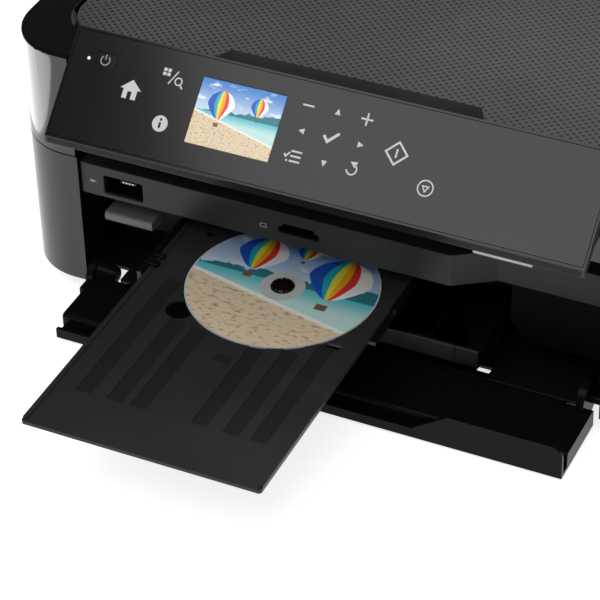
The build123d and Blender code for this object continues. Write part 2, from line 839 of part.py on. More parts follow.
with BuildPart() as chassis_beam:
    slab((-frame_half, frame_half), (beam_y, beam_y + beam_thickness), (beam_low, beam_high))
    slab((pulley_x - 18, pulley_x + 18), (rail_y + 2, beam_y), (80, 81.5))
    rod_z(pulley_x, pulley_y, (79, 82), 3.0, mode=Mode.SUBTRACT)
    slab((pulley_x - 15, pulley_x + 15), (beam_y - 1, beam_y + 3), (57, 80), mode=Mode.SUBTRACT)
    slab((idler_pulley_x - 6, idler_pulley_x + 6), (pulley_y - 5, beam_y), (94.5, 96.5))
    rod_z(idler_pulley_x, pulley_y, (96.5, belt_high), 1.5)
    # the encoder strip hangs beside the beam, on a tab at each end
    slab((-frame_half, frame_half), (pulley_y - 0.2, pulley_y + 0.2), (106, 112))
    for x in (-frame_half, frame_half - 4):
        slab((x, x + 4), (pulley_y - 0.2, beam_y), (106, 112))
chassis_beam.part.label = "chassis_beam"
export_step(chassis_beam.part, "parts/chassis_beam.step")

with BuildPart() as carriage_motor:
    rod_z(pulley_x, pulley_y, (58, 80), 13.5)
    rod_z(pulley_x, pulley_y, (79, belt_low), 1.5)
    rod_z(pulley_x, pulley_y, (belt_low, belt_high), pulley_radius - 0.1)
carriage_motor.part.label = "carriage_motor"
export_step(carriage_motor.part, "parts/carriage_motor.step")

with BuildPart() as idler_pulley:
    rod_z(idler_pulley_x, pulley_y, (belt_low, belt_high), pulley_radius - 0.1)
    rod_z(idler_pulley_x, pulley_y, (belt_low - 1, belt_high + 1), 1.5 + running, mode=Mode.SUBTRACT)
idler_pulley.part.label = "idler_pulley"
export_step(idler_pulley.part, "parts/idler_pulley.step")

with BuildPart() as timing_belt:
    with BuildSketch(Plane.XY.offset(belt_low)):
        with Locations(((pulley_x + idler_pulley_x) / 2, pulley_y)):
            SlotCenterToCenter(idler_pulley_x - pulley_x, 2 * (pulley_radius + belt_thickness))
            SlotCenterToCenter(idler_pulley_x - pulley_x, 2 * pulley_radius, mode=Mode.SUBTRACT)
    extrude(amount=belt_high - belt_low)
timing_belt.part.label = "timing_belt"
export_step(timing_belt.part, "parts/timing_belt.step")

# ---------------------------------------------------------------- service parts in the base
station_x = (frame_half - 106.0, frame_half - 10.0)
station_high = 50.0
cap_x = (station_x[0] + 8.0, station_x[1] - 20.0)
cap_rim = 3.0
cap_high = 58.0

with BuildPart() as maintenance_station:
    slab(station_x, (carriage_front, carriage_rear - 2), (frame_low, station_high))
    slab(cap_x, (carriage_front + 8, carriage_rear - 8), (station_high, cap_high))
    slab(
        (cap_x[0] + cap_rim, cap_x[1] - cap_rim),
        (carriage_front + 8 + cap_rim, carriage_rear - 8 - cap_rim),
        (station_high + 2, cap_high + 1),
        mode=Mode.SUBTRACT,
    )
maintenance_station.part.label = "maintenance_station"
export_step(maintenance_station.part, "parts/maintenance_station.step")

waste_x = (-100.0, 50.0)
waste_y = (unit_rear - 110.0, unit_rear - 10.0)
waste_high = 26.0
waste_skin = 2.0
felt_gap = 1.0

with BuildPart() as waste_ink_box:
    slab(waste_x, waste_y, (frame_low, waste_high))
    slab(
        (waste_x[0] + waste_skin, waste_x[1] - waste_skin),
        (waste_y[0] + waste_skin, waste_y[1] - waste_skin),
        (frame_low + waste_skin, waste_high + 1),
        mode=Mode.SUBTRACT,
    )
    slab(
        (waste_x[0] + waste_skin + felt_gap, waste_x[1] - waste_skin - felt_gap),
        (waste_y[0] + waste_skin + felt_gap, waste_y[1] - waste_skin - felt_gap),
        (frame_low + waste_skin, waste_high - 2),
    )
waste_ink_box.part.label = "waste_ink_box"
export_step(waste_ink_box.part, "parts/waste_ink_box.step")

board_low = 15.4
board_thickness = 1.6
board_x = (frame_half - 146.0, frame_half - 6.0)
board_y = (back - 155.0, back - 9.0)
# each chip: distance from the board's left and front edges, then its width, depth and height
board_chips = ((30, 25, 24, 24, 3), (70, 30, 16, 16, 2.4), (100, 70, 12, 20, 9), (25, 90, 30, 6, 8))
post_inset = 6.0
post_radius = 3.0
usb_plug_width = 8.4
usb_plug_height = 7.8

with BuildPart() as main_board:
    slab(board_x, board_y, (board_low, board_low + board_thickness))
    for x, y, width, depth, height in board_chips:
        slab(
            (board_x[0] + x, board_x[0] + x + width),
            (board_y[0] + y, board_y[0] + y + depth),
            (board_low + 1, board_low + board_thickness + height),
        )
    for x in (board_x[0] + post_inset, board_x[1] - post_inset):
        for y in (board_y[0] + post_inset, board_y[1] - post_inset - 1):
            rod_z(x, y, (frame_low, board_low), post_radius)
    # the socket behind the rear cover
    slab(
        (usb_rear_x - usb_rear_width / 2 + play, usb_rear_x + usb_rear_width / 2 - play),
        (back - 19, back - 0.8),
        (board_low + board_thickness, usb_rear_z + usb_rear_height / 2 - play),
    )
    slab(
        (usb_rear_x - usb_plug_width / 2, usb_rear_x + usb_plug_width / 2),
        (back - 10, back),
        (usb_rear_z - usb_plug_height / 2, usb_rear_z + usb_plug_height / 2),
        mode=Mode.SUBTRACT,
    )
    slab((usb_rear_x - 2.8, usb_rear_x + 2.8), (back - 11, back - 2), (usb_rear_z - 1.5, usb_rear_z + 1.5))
main_board.part.label = "main_board"
export_step(main_board.part, "parts/main_board.step")

supply_x = (6.0 - frame_half, 94.0 - frame_half)
supply_y = (back - 125.0, back - 35.0)
supply_high = 58.0
vent_count = 6
vent_pitch = 12.0
vent_width = 6.0
vent_depth = 2.0

with BuildPart() as power_supply:
    slab(supply_x, supply_y, (frame_low, supply_high))
    fillet(power_supply.edges().filter_by(Axis.Z), 2.0)
    for row in range(vent_count):
        vent = supply_x[0] + 10 + vent_pitch * row
        slab(
            (vent, vent + vent_width),
            (supply_y[0] + 2, supply_y[1] - 2),
            (supply_high - vent_depth, supply_high + 1),
            mode=Mode.SUBTRACT,
        )
power_supply.part.label = "power_supply"
export_step(power_supply.part, "parts/power_supply.step")

plug_width = 18.0
plug_height = 12.0
plug_depth = 15.0
contact_x = 3.0
contact_radius = 1.2

with BuildPart() as power_inlet:
    slab(
        (inlet_x - inlet_width / 2 + play, inlet_x + inlet_width / 2 - play),
        (supply_y[1], back - 1),
        (inlet_z - inlet_height / 2 + play, inlet_z + inlet_height / 2 - play),
    )
    slab(
        (inlet_x - plug_width / 2, inlet_x + plug_width / 2),
        (back - plug_depth, back),
        (inlet_z - plug_height / 2, inlet_z + plug_height / 2),
        mode=Mode.SUBTRACT,
    )
    for x in (inlet_x - contact_x, inlet_x + contact_x):
        rod_y(x, (back - plug_depth - 1, back - 5), inlet_z, contact_radius)
power_inlet.part.label = "power_inlet"
export_step(power_inlet.part, "parts/power_inlet.step")

# ---------------------------------------------------------------- rear sheet feeder
cheek_half = 118.0
cheek_width = 5.0
hopper_skin = 2.5
hopper_bend = (unit_rear + 16.0, 104.0)
hopper_foot = (unit_rear - 36.0, 67.0)
hopper_head = (slot_rear + 1.0, deck_top - wall - 1)
cheek_front = unit_rear - 50.0
cheek_step = housing_front + wall + 0.5
cheek_top = 102.0
pickup_y = unit_rear - 30.0
pickup_z = 91.0
pickup_radius = 15.7
arm_depth = 10.0          # the arms that carry the feeder between the side frames
arm_low = 86.0
arm_high = 94.0

with BuildPart() as rear_feeder:
    plate = bar_profile(
        (
            hopper_foot,
            hopper_bend,
            hopper_head,
            (hopper_head[0] + hopper_skin, hopper_head[1]),
            (hopper_bend[0] + hopper_skin, hopper_bend[1] - 1),
            (hopper_foot[0] + hopper_skin, hopper_foot[1] - 1),
        ),
        (-cheek_half, cheek_half),
    )
    add(plate)
    for x in (-cheek_half, cheek_half - cheek_width):
        cheek = bar_profile(
            (
                (cheek_front, hopper_foot[1]),
                hopper_foot,
                hopper_bend,
                hopper_head,
                (cheek_step, hopper_head[1]),
                (cheek_step, cheek_top),
                (cheek_front, cheek_top),
            ),
            (x, x + cheek_width),
        )
        add(cheek)
        rod_x(
            (x - 1, x + cheek_width + 1),
            pickup_y,
            pickup_z,
            journal_radius + running,
            mode=Mode.SUBTRACT,
        )
    for side in (-1, 1):
        x = sorted((side * cheek_half, side * frame_half))
        slab(x, (frame_rear - arm_depth, frame_rear), (arm_low, arm_high))
rear_feeder.part.label = "rear_feeder"
export_step(rear_feeder.part, "parts/rear_feeder.step")

with BuildPart() as pickup_roller:
    rod_x((-20, 20), pickup_y, pickup_z, pickup_radius)
    rod_x((-cheek_half - 2, cheek_half + 2), pickup_y, pickup_z, journal_radius)
pickup_roller.part.label = "pickup_roller"
export_step(pickup_roller.part, "parts/pickup_roller.step")

guide_x = 106.0

with BuildPart() as edge_guide:
    slope = (hopper_head[0] - hopper_bend[0]) / (hopper_head[1] - hopper_bend[1])
    low_z = deck_top - 30
    low_y = hopper_bend[0] + (low_z - hopper_bend[1]) * slope - play
    high_y = hopper_head[0] - play - 0.6
    fence = bar_profile(
        ((slot_front + 2, low_z), (low_y, low_z), (high_y, deck_top - 4), (slot_front + 2, deck_top - 4)),
        (guide_x, guide_x + 3),
    )
    add(fence)
edge_guide.part.label = "edge_guide"
export_step(edge_guide.part, "parts/edge_guide.step")

with BuildPart() as paper_support:
    slab(
        (-support_half, support_half),
        (slot_front - 4, support_hinge_y),
        (support_low, support_low + support_thickness),
    )
    fillet(paper_support.edges().filter_by(Axis.Z).group_by(Axis.Y)[0], 8.0)
    rod_x((-support_half, support_half), support_hinge_y, support_pin_z, support_barrel)
    for side in (-1, 1):
        x = side * (support_half - 14)
        slab(
            (x - 4.5, x + 4.5),
            (support_hinge_y - 8, support_hinge_y + 5),
            (deck_top, deck_top + 8),
            mode=Mode.SUBTRACT,
        )
        rod_x(
            (x - 9.5, x + 9.5),
            support_hinge_y,
            support_pin_z,
            support_pin_radius + running,
            mode=Mode.SUBTRACT,
        )
paper_support.part.label = "paper_support"
export_step(paper_support.part, "parts/paper_support.step")

# ---------------------------------------------------------------- scanner unit
recess_half = half_width - 26.0
recess_front = front + 27.0
recess_corner = 28.0
recess_side = 5.0         # the bay is this much wider where it runs into the lid's recess
bed_top = 174.5
bed_thickness = 2.5
glass_width = 306.0
glass_depth = unit_depth - 76.0
glass_y = front + 52.0 + glass_depth / 2
glass_thickness = 2.0
glass_ledge = 4.0
glass_low = bed_top - bed_thickness - glass_thickness
front_wall = front + bay_depth


def recess_outline(plane, margin):
    """Plan outline of the lid's recess, wider all round by the margin; open to the rear."""
    with BuildSketch(plane) as shape:
        with Locations((0, (recess_front - margin + unit_rear) / 2)):
            Rectangle(2 * (recess_half + margin), unit_rear - recess_front + margin)
        fillet(shape.vertices().group_by(Axis.Y)[0], recess_corner + margin)
    return shape.sketch


with BuildPart() as scanner_frame:
    shell = outline(Plane.XY.offset(unit_bottom), unit_depth, 4.0)
    extrude(shell, amount=deck_top - unit_bottom)
    roof = scanner_frame.faces().sort_by(Axis.Z)[-1].outer_wire().edges()
    fillet(roof, 2.2)
    cavity = outline(Plane.XY.offset(unit_bottom - 1), unit_depth, 0, wall)
    extrude(cavity, amount=deck_top - wall - unit_bottom + 1, mode=Mode.SUBTRACT)
    # the lid's recess and the panel's bay
    recess = recess_outline(Plane.XY.offset(deck_top - wall - 1), 0)
    extrude(recess, amount=wall + 2, mode=Mode.SUBTRACT)
    rim = recess_outline(Plane.XY.offset(bed_top), wall)
    extrude(rim, amount=deck_top - wall - bed_top)
    well = recess_outline(Plane.XY.offset(bed_top), 0)
    extrude(well, amount=deck_top - bed_top, mode=Mode.SUBTRACT)
    slab(
        (-bay_half, bay_half),
        (front - 1, recess_front + 1),
        (unit_bottom - 1, deck_top + 1),
        mode=Mode.SUBTRACT,
    )
    slab(
        (-bay_half - recess_side, bay_half + recess_side),
        (recess_front - recess_side, recess_front + recess_side),
        (bed_top, deck_top + 1),
        mode=Mode.SUBTRACT,
    )
    # bed plate and the walls of the bay
    slab(
        (-recess_half - wall, recess_half + wall),
        (front_wall, unit_rear),
        (bed_top - bed_thickness, bed_top),
    )
    for side in (-1, 1):
        x = sorted((side * bay_half, side * (bay_half + wall)))
        slab(x, (front + 0.8, front_wall + wall), (unit_bottom, bed_top))
        slab(x, (front + 0.8, recess_front - recess_side), (bed_top, deck_top - wall))
        rod_x(
            (x[0] - 1, x[1] + 1),
            panel_pivot_y,
            panel_pivot_z,
            unit_pin_radius + running,
            mode=Mode.SUBTRACT,
        )
    slab((-bay_half, bay_half), (front_wall, front_wall + wall), (unit_bottom, bed_top))
    slab((-recess_half, recess_half), (unit_rear - wall, unit_rear), (bed_top, bed_top + 1.5))
    with Locations((0, glass_y, bed_top)):
        Box(
            glass_width - 2 * glass_ledge,
            glass_depth - 2 * glass_ledge,
            3 * bed_thickness,
            mode=Mode.SUBTRACT,
        )
    # room for the hinge brackets and the ears that turn on their pins
    for side in (-1, 1):
        x = sorted((side * (frame_half - 4), side * (frame_half + 13)))
        slab(x, (unit_rear - wall - 1, unit_rear + 1), (unit_bottom - 1, hinge_z + 1), mode=Mode.SUBTRACT)
        x = sorted((side * (frame_half + 7), side * (frame_half + 11.5)))
        slab(x, (hinge_y - 6, unit_rear - wall), (hinge_z - 6, deck_top - wall))
        rod_x((x[0] - 1, x[1] + 1), hinge_y, hinge_z, unit_pin_radius + running, mode=Mode.SUBTRACT)
scanner_frame.part.label = "scanner_frame"
export_step(scanner_frame.part, "parts/scanner_frame.step")

pan_half = recess_half - 8.0
pan_low = 128.0
pan_skin = 2.2
pan_back = unit_rear - 14.0
scan_rail_y = glass_y
scan_rail_z = 142.0
scan_rail_radius = 4.0

with BuildPart() as scanner_pan:
    slab((-pan_half, pan_half), (front_wall + wall, pan_back), (pan_low, glass_low))
    slab(
        (-pan_half + pan_skin, pan_half - pan_skin),
        (front_wall + wall + pan_skin, pan_back - pan_skin),
        (pan_low + pan_skin, glass_low + 1),
        mode=Mode.SUBTRACT,
    )
    for side in (-1, 1):
        x = sorted((side * (glass_width / 2 - 8), side * (pan_half - 0.5)))
        slab(x, (front_wall + wall + 1, pan_back - 1), (glass_low - 3, glass_low))
    slab(
        (-pan_half + 1, pan_half - 1),
        (front_wall + wall + 1, glass_y - glass_depth / 2 + 8),
        (glass_low - 3, glass_low),
    )
    slab(
        (-pan_half + 1, pan_half - 1),
        (glass_y + glass_depth / 2 - 8, pan_back - 1),
        (glass_low - 3, glass_low),
    )
    rod_x((-pan_half - 1, pan_half + 1), scan_rail_y, scan_rail_z, scan_rail_radius, mode=Mode.SUBTRACT)
    frame_bottom = bed_top - bed_thickness
    for side in (-1, 1):
        x = sorted((side * (glass_width / 2 + 1), side * pan_half))
        slab(x, (front_wall + wall, pan_back), (glass_low, frame_bottom))
scanner_pan.part.label = "scanner_pan"
export_step(scanner_pan.part, "parts/scanner_pan.step")

with BuildPart() as scanner_glass:
    with Locations((0, glass_y, glass_low + glass_thickness / 2)):
        Box(glass_width, glass_depth, glass_thickness)
scanner_glass.part.label = "scanner_glass"
export_step(scanner_glass.part, "parts/scanner_glass.step")

with BuildPart() as scan_rail:
    rod_x((-pan_half, pan_half), scan_rail_y, scan_rail_z, scan_rail_radius)
scan_rail.part.label = "scan_rail"
export_step(scan_rail.part, "parts/scan_rail.step")

scan_left = -150.0
scan_width = 26.0
scan_depth = glass_depth - 22.0

with BuildPart() as scan_carriage:
    slab(
        (scan_left, scan_left + scan_width),
        (glass_y - scan_depth / 2, glass_y + scan_depth / 2),
        (scan_rail_z + 8, glass_low - 4),
    )
    slab(
        (scan_left, scan_left + scan_width),
        (scan_rail_y - 11, scan_rail_y + 11),
        (scan_rail_z - 8, scan_rail_z + 9),
    )
    rod_x(
        (scan_left - 1, scan_left + scan_width + 1),
        scan_rail_y,
        scan_rail_z,
        scan_rail_radius + running,
        mode=Mode.SUBTRACT,
    )
scan_carriage.part.label = "scan_carriage"
export_step(scan_carriage.part, "parts/scan_carriage.step")

with BuildPart() as scan_sensor:
    slab(
        (scan_left + 5, scan_left + scan_width - 5),
        (glass_y - scan_depth / 2 + 4, glass_y + scan_depth / 2 - 4),
        (glass_low - 4, glass_low - 1),
    )
scan_sensor.part.label = "scan_sensor"
export_step(scan_sensor.part, "parts/scan_sensor.step")

bracket_width = 3.0
bracket_reach = 5.0
bracket_low = 88.0

with BuildPart() as unit_hinges:
    for side in (-1, 1):
        x = sorted((side * (frame_half + frame_thickness), side * (frame_half + frame_thickness + bracket_width)))
        slab(x, (hinge_y - 21, hinge_y + bracket_reach), (bracket_low, hinge_z - 6))
        slab(
            x,
            (hinge_y - bracket_reach, hinge_y + bracket_reach),
            (hinge_z - 7, hinge_z + bracket_reach),
        )
        x = sorted((side * (frame_half + 3), side * (frame_half + 13.5)))
        rod_x(x, hinge_y, hinge_z, unit_pin_radius)
unit_hinges.part.label = "unit_hinges"
export_step(unit_hinges.part, "parts/unit_hinges.step")

# ---------------------------------------------------------------- document lid
lid_half = recess_half - 8.0
lid_front = front + 24.0
lid_rear = unit_rear - 1.0
lid_low = bed_top + 0.7
lid_skin = 2.5
lid_corner = 25.0
scoop_half = 88.0
scoop_depth = 13.0
scoop_slope = 7.0
post_x = 130.0

with BuildPart() as document_lid:
    with BuildSketch(Plane.XY.offset(lid_low)) as plan:
        with Locations((0, (lid_front + lid_rear) / 2)):
            Rectangle(2 * lid_half, lid_rear - lid_front)
        fillet(plan.vertices().group_by(Axis.Y)[0], lid_corner)
        fillet(plan.vertices().group_by(Axis.Y)[-1], 6.0)
    extrude(amount=lid_top - lid_low)
    fillet(document_lid.faces().sort_by(Axis.Z)[-1].outer_wire().edges(), 2.4)
    slab(
        (-lid_half + lid_skin, lid_half - lid_skin),
        (lid_front + 20, lid_rear - 12),
        (lid_low - 1, lid_top - lid_skin),
        mode=Mode.SUBTRACT,
    )
    with BuildSketch(Plane.XY.offset(lid_low - 1)):
        with BuildLine():
            Polyline(
                (-scoop_half, lid_front - 1),
                (-scoop_half + scoop_slope, lid_front + scoop_depth),
                (scoop_half - scoop_slope, lid_front + scoop_depth),
                (scoop_half, lid_front - 1),
                close=True,
            )
        make_face()
    extrude(amount=lid_top - lid_low + 2, mode=Mode.SUBTRACT)
    slab(
        (-lid_half - 1, lid_half + 1),
        (lid_hinge_y + 2, lid_rear + 1),
        (lid_low - 1, lid_hinge_z - 1),
        mode=Mode.SUBTRACT,
    )
    for side in (-1, 1):
        x = side * post_x
        slab(
            (x - 7, x + 7),
            (lid_hinge_y - 8, lid_rear + 1),
            (lid_low - 1, lid_top + 1),
            mode=Mode.SUBTRACT,
        )
        rod_x((x - 20, x + 20), lid_hinge_y, lid_hinge_z, lid_pin_radius + running, mode=Mode.SUBTRACT)
document_lid.part.label = "document_lid"
export_step(document_lid.part, "parts/document_lid.step")

with BuildPart() as lid_hinges:
    for side in (-1, 1):
        x = side * post_x
        slab((x - 6, x + 6), (lid_hinge_y - 4, lid_hinge_y + 4), (bed_top, lid_hinge_z))
        rod_x((x - 6, x + 6), lid_hinge_y, lid_hinge_z, 4.0)
        rod_x((x - 19, x + 19), lid_hinge_y, lid_hinge_z, lid_pin_radius)
lid_hinges.part.label = "lid_hinges"
export_step(lid_hinges.part, "parts/lid_hinges.step")

with BuildPart() as lid_pad:
    slab(
        (-glass_width / 2, glass_width / 2),
        (lid_front + 24, lid_rear - 20),
        (bed_top + 0.7, lid_top - lid_skin),
    )
    fillet(lid_pad.edges().filter_by(Axis.Z), 4.0)
lid_pad.part.label = "lid_pad"
export_step(lid_pad.part, "parts/lid_pad.step")

# ---------------------------------------------------------------- tilting panel
lip_v = panel_low - sin(tilt) * panel_lip
lip_w = panel_face - cos(tilt) * panel_lip
back_top = 4.5
display_x = (-84.0, -28.8)
display_v = (-38.0, 3.2)
power_x = (-155.4, -142.0)
power_v = (-6.5, 3.5)
button_gap = 0.3
button_travel = 0.8
board_end = 100.0

# the lever under the front lip that lets the panel tilt
release_x = (105.0, 142.0)
release_top = 6.6
release_travel = 3.0


def panel_slab(x, v, w, mode=Mode.ADD):
    """A block square to the panel: x along it, v up its slope and w out of its face."""
    with BuildSketch(panel_plane(w[0])) as base:
        with Locations(((x[0] + x[1]) / 2, (v[0] + v[1]) / 2)):
            Rectangle(x[1] - x[0], v[1] - v[0])
    extrude(base.sketch, amount=w[1] - w[0], mode=mode)


def panel_bar(points, x, mode=Mode.ADD):
    """A bar along the panel with the given (v, w) outline."""
    with BuildSketch(panel_section(x[0])) as section:
        with BuildLine():
            Polyline(*points, close=True)
        make_face()
    extrude(section.sketch, amount=x[1] - x[0], mode=mode)


with BuildPart() as panel_front:
    panel_bar(
        (
            (panel_low, panel_face),
            (lip_v, lip_w),
            (lip_v + 2.4, lip_w - 0.4),
            (lip_v + 8, back_top + 0.5),
            (panel_above, back_top + 0.5),
            (panel_above, panel_face),
        ),
        (-panel_half, panel_half),
    )
    panel_slab(
        (-panel_half + panel_skin, panel_half - panel_skin),
        (panel_low + 4, panel_above - panel_skin),
        (back_top, panel_face - panel_skin),
        mode=Mode.SUBTRACT,
    )
    panel_slab(display_x, display_v, (0, panel_face + 1), mode=Mode.SUBTRACT)
    panel_slab(power_x, power_v, (0, panel_face + 1), mode=Mode.SUBTRACT)
    panel_slab(release_x, (lip_v - 2, lip_v + 13), (0, release_top + button_gap), mode=Mode.SUBTRACT)
panel_front.part.label = "panel_front"
export_step(panel_front.part, "parts/panel_front.step")

with BuildPart() as panel_back:
    inset = 2.0
    panel_bar(
        (
            (lip_v + 12, back_top),
            (panel_above - 2, back_top),
            (panel_above - 3, 3.0),
            (4.0, -2.0),
            (0.0, -7.0),
            (-30.0, -7.0),
            (lip_v + 12, 1.5),
        ),
        (-panel_half + inset, panel_half - inset),
    )
    panel_bar(
        ((-38, back_top + 1), (0, back_top + 1), (-1, -5), (-28, -5), (-38, -1.5)),
        (-panel_half + 2 * inset, panel_half - 2 * inset),
        mode=Mode.SUBTRACT,
    )
    for side in (-1, 1):
        x = sorted((side * (panel_half - 6), side * (bay_half + wall + 0.5)))
        rod_x(x, panel_pivot_y, panel_pivot_z, unit_pin_radius)
        x = sorted((side * (panel_half - 8), side * (panel_half - inset)))
        rod_x(x, panel_pivot_y, panel_pivot_z, 4.4)
panel_back.part.label = "panel_back"
export_step(panel_back.part, "parts/panel_back.step")

with BuildPart() as display:
    panel_slab(
        (display_x[0] + button_gap, display_x[1] - button_gap),
        (display_v[0] + button_gap, display_v[1] - button_gap),
        (back_top + 0.1, panel_face - 0.2),
    )
    panel_slab((display_x[0] + 2, display_x[1] - 2), (-36, -2), (back_top - 1.4, back_top + 0.2))
    # the key board that carries the display
    panel_slab((display_x[0], board_end), (-36, -4), (back_top - 3.0, back_top - 1.4))
    for x in (0.0, 90.0):
        panel_slab((x, x + 6), (-28, -22), (-5.0, back_top - 3.0))
display.part.label = "display"
export_step(display.part, "parts/display.step")

with BuildPart() as power_button:
    panel_slab(
        (power_x[0] + button_gap, power_x[1] - button_gap),
        (power_v[0] + button_gap, power_v[1] - button_gap),
        (back_top + button_travel + 0.3, panel_face),
    )
    panel_slab(
        (power_x[0] - 1.0, power_x[1] + 1.0),
        (power_v[0] - 1.0, power_v[1] + 1.0),
        (back_top + button_travel + 0.3, panel_face - panel_skin - 0.1),
    )
power_button.part.label = "power_button"
export_step(power_button.part, "parts/power_button.step")

with BuildPart() as release_lever:
    bar_x = (release_x[0] + button_gap, release_x[1] - button_gap)
    panel_slab(bar_x, (lip_v + 0.6, lip_v + 12 - release_travel - 0.7), (back_top - 0.9, release_top))
    panel_slab(bar_x, (lip_v + 0.6, lip_v + 17), (back_top + 0.4, release_top))
release_lever.part.label = "release_lever"
export_step(release_lever.part, "parts/release_lever.step")

# ---------------------------------------------------------------- front cover
lip_low = 8.8
lip_high = 24.6
lip_slope_x = (73.5, 96.9)
lip_round = 8.0
ear_radius = 13.0
ear_x = cover_half - 9.6
ear_width = 5.0
left_ear_x = (-opening_half + play, -opening_half + play + ear_width)
left_ear_radius = 11.0
left_ear_drop = 4.0       # its round end and its boss lie below the hinge line
boss_length = 11.6
boss_radii = (9.0, 4.5)
pin_end = opening_half + wall - 0.3
inner_front = cover_front + 9.0           # the raised inner face behind the gutter at the lip
inner_rear = cover_hinge_y - 6.5
inner_top = 14.0
inner_round = 2.5

with BuildPart() as front_cover:
    slab((-cover_half, cover_half), (inner_front, inner_rear), (cover_floor, inner_top))
    top_edges = front_cover.edges().filter_by(Axis.X).group_by(Axis.Z)[-1].sort_by(Axis.Y)
    fillet(top_edges[0], inner_round)
    chamfer(front_cover.edges().filter_by(Axis.X).sort_by(Axis.Y)[-2:].sort_by(Axis.Z)[-1], 0.6)
    inner_x = (-cover_half + cover_skin, cover_half - cover_skin)
    inner_y = (inner_front + cover_skin, inner_rear - cover_skin)
    slab(inner_x, inner_y, (cover_floor - 1, inner_top - cover_skin), mode=Mode.SUBTRACT)
    slab((-cover_half, cover_half), (cover_front, inner_front + 1), (cover_floor, cover_floor + cover_skin))
    with BuildSketch(Plane.XZ.offset(-cover_front)) as lip:
        with BuildLine():
            Polyline(
                (-cover_half, cover_floor),
                (-cover_half, lip_low),
                (lip_slope_x[0], lip_low),
                (lip_slope_x[1], lip_high),
                (cover_half, lip_high),
                (cover_half, cover_floor),
                close=True,
            )
        make_face()
        crown = lip.vertices().sort_by(Axis.X)[-2:].sort_by(Axis.Y)[-1]
        fillet(crown, lip_round)
    extrude(amount=-cover_skin)
    # right ear: a round slab about the hinge line, with the pin into the side cover
    right_ear_x = (ear_x, ear_x + ear_width)
    rod_x(right_ear_x, cover_hinge_y, cover_hinge_z, ear_radius)
    slab(right_ear_x, (inner_rear - 12, cover_hinge_y), (cover_floor, inner_top - 1))
    rod_x((ear_x, pin_end), cover_hinge_y, cover_hinge_z, hinge_pin_radius)
    # left ear: close to the side cover, with a tapered boss on its inner side
    slab(left_ear_x, (inner_rear - 15, cover_hinge_y - 2), (cover_floor, inner_top - 1))
    rod_x(left_ear_x, cover_hinge_y - 2, cover_hinge_z - left_ear_drop, left_ear_radius)
    boss = Location(
        (left_ear_x[1] + boss_length / 2, cover_hinge_y, cover_hinge_z - left_ear_drop),
        (0, 90, 0),
    )
    with Locations(boss):
        Cone(boss_radii[0], boss_radii[1], boss_length)
    rod_x((-pin_end, left_ear_x[1]), cover_hinge_y, cover_hinge_z, hinge_pin_radius)
front_cover.part.label = "front_cover"
export_step(front_cover.part, "parts/front_cover.step")

# ---------------------------------------------------------------- disc tray, hub and disc
recess_radius = disc_radius + 0.7
recess_depth = 1.3
disc_low = tray_top - recess_depth + 0.2
hub_radius = 7.2
hub_top = 63.9
rim_width = 3.2
groove_width = 10.5
groove_depth = 0.5
groove_front = front - 153.0
grooves = (-88.8, -68.5, -53.0, -13.8, 6.5, 23.8)
groove_ends = (-35.2, -50.0, -50.0, -50.0, -50.0, -50.0)
notch_x = -73.0
notch_y = front - 61.0

with BuildPart() as disc_tray:
    slab((tray_left, tray_right), (tray_front, tray_rear), (tray_bottom, tray_top))
    fillet(disc_tray.edges().filter_by(Axis.Z), 2.0)
    for x in (tray_left, tray_right - rim_width):
        slab((x, x + rim_width), (tray_front + 3, tray_rear - 3), (tray_top - 0.5, tray_top + rim_height))
    with Locations((disc_x, disc_y, tray_top)):
        Cylinder(recess_radius, 2 * recess_depth, mode=Mode.SUBTRACT)
    with Locations((notch_x, notch_y, tray_top)):
        Cylinder(9.0, 2 * recess_depth, mode=Mode.SUBTRACT)
    for x, end in zip(grooves, groove_ends):
        slab(
            (x - groove_width / 2, x + groove_width / 2),
            (groove_front, front + end),
            (tray_top - groove_depth, tray_top + 1),
            mode=Mode.SUBTRACT,
        )
    slab((21.5, 31.5), (front - 59.4, front - 54.6), (tray_bottom - 1, tray_top + 1), mode=Mode.SUBTRACT)
    rod_z(-90.2, front + 15.6, (tray_bottom - 1, tray_top + 1), 3.0, mode=Mode.SUBTRACT)
    rod_z(disc_x, disc_y, (tray_bottom - 1, tray_top), 4.0, mode=Mode.SUBTRACT)
disc_tray.part.label = "disc_tray"
export_step(disc_tray.part, "parts/disc_tray.step")

with BuildPart() as disc_hub:
    rod_z(disc_x, disc_y, (tray_top - recess_depth, hub_top), hub_radius)
    chamfer(disc_hub.edges().group_by(Axis.Z)[-1], 0.8)
    rod_z(disc_x, disc_y, (tray_bottom, tray_top), 3.9)
    rod_z(disc_x, disc_y, (tray_top, hub_top + 1), 4.0, mode=Mode.SUBTRACT)
    for turn in range(6):
        with Locations(Location((disc_x, disc_y, hub_top), (0, 0, 30 * turn))):
            Box(2 * hub_radius + 2, 1.0, 3.0, mode=Mode.SUBTRACT)
disc_hub.part.label = "disc_hub"
export_step(disc_hub.part, "parts/disc_hub.step")

with BuildPart() as disc:
    rod_z(disc_x, disc_y, (disc_low, disc_low + disc_thickness), disc_radius)
    rod_z(disc_x, disc_y, (disc_low - 1, disc_low + 2), disc_hole_radius, mode=Mode.SUBTRACT)
disc.part.label = "disc"
export_step(disc.part, "parts/disc.step")

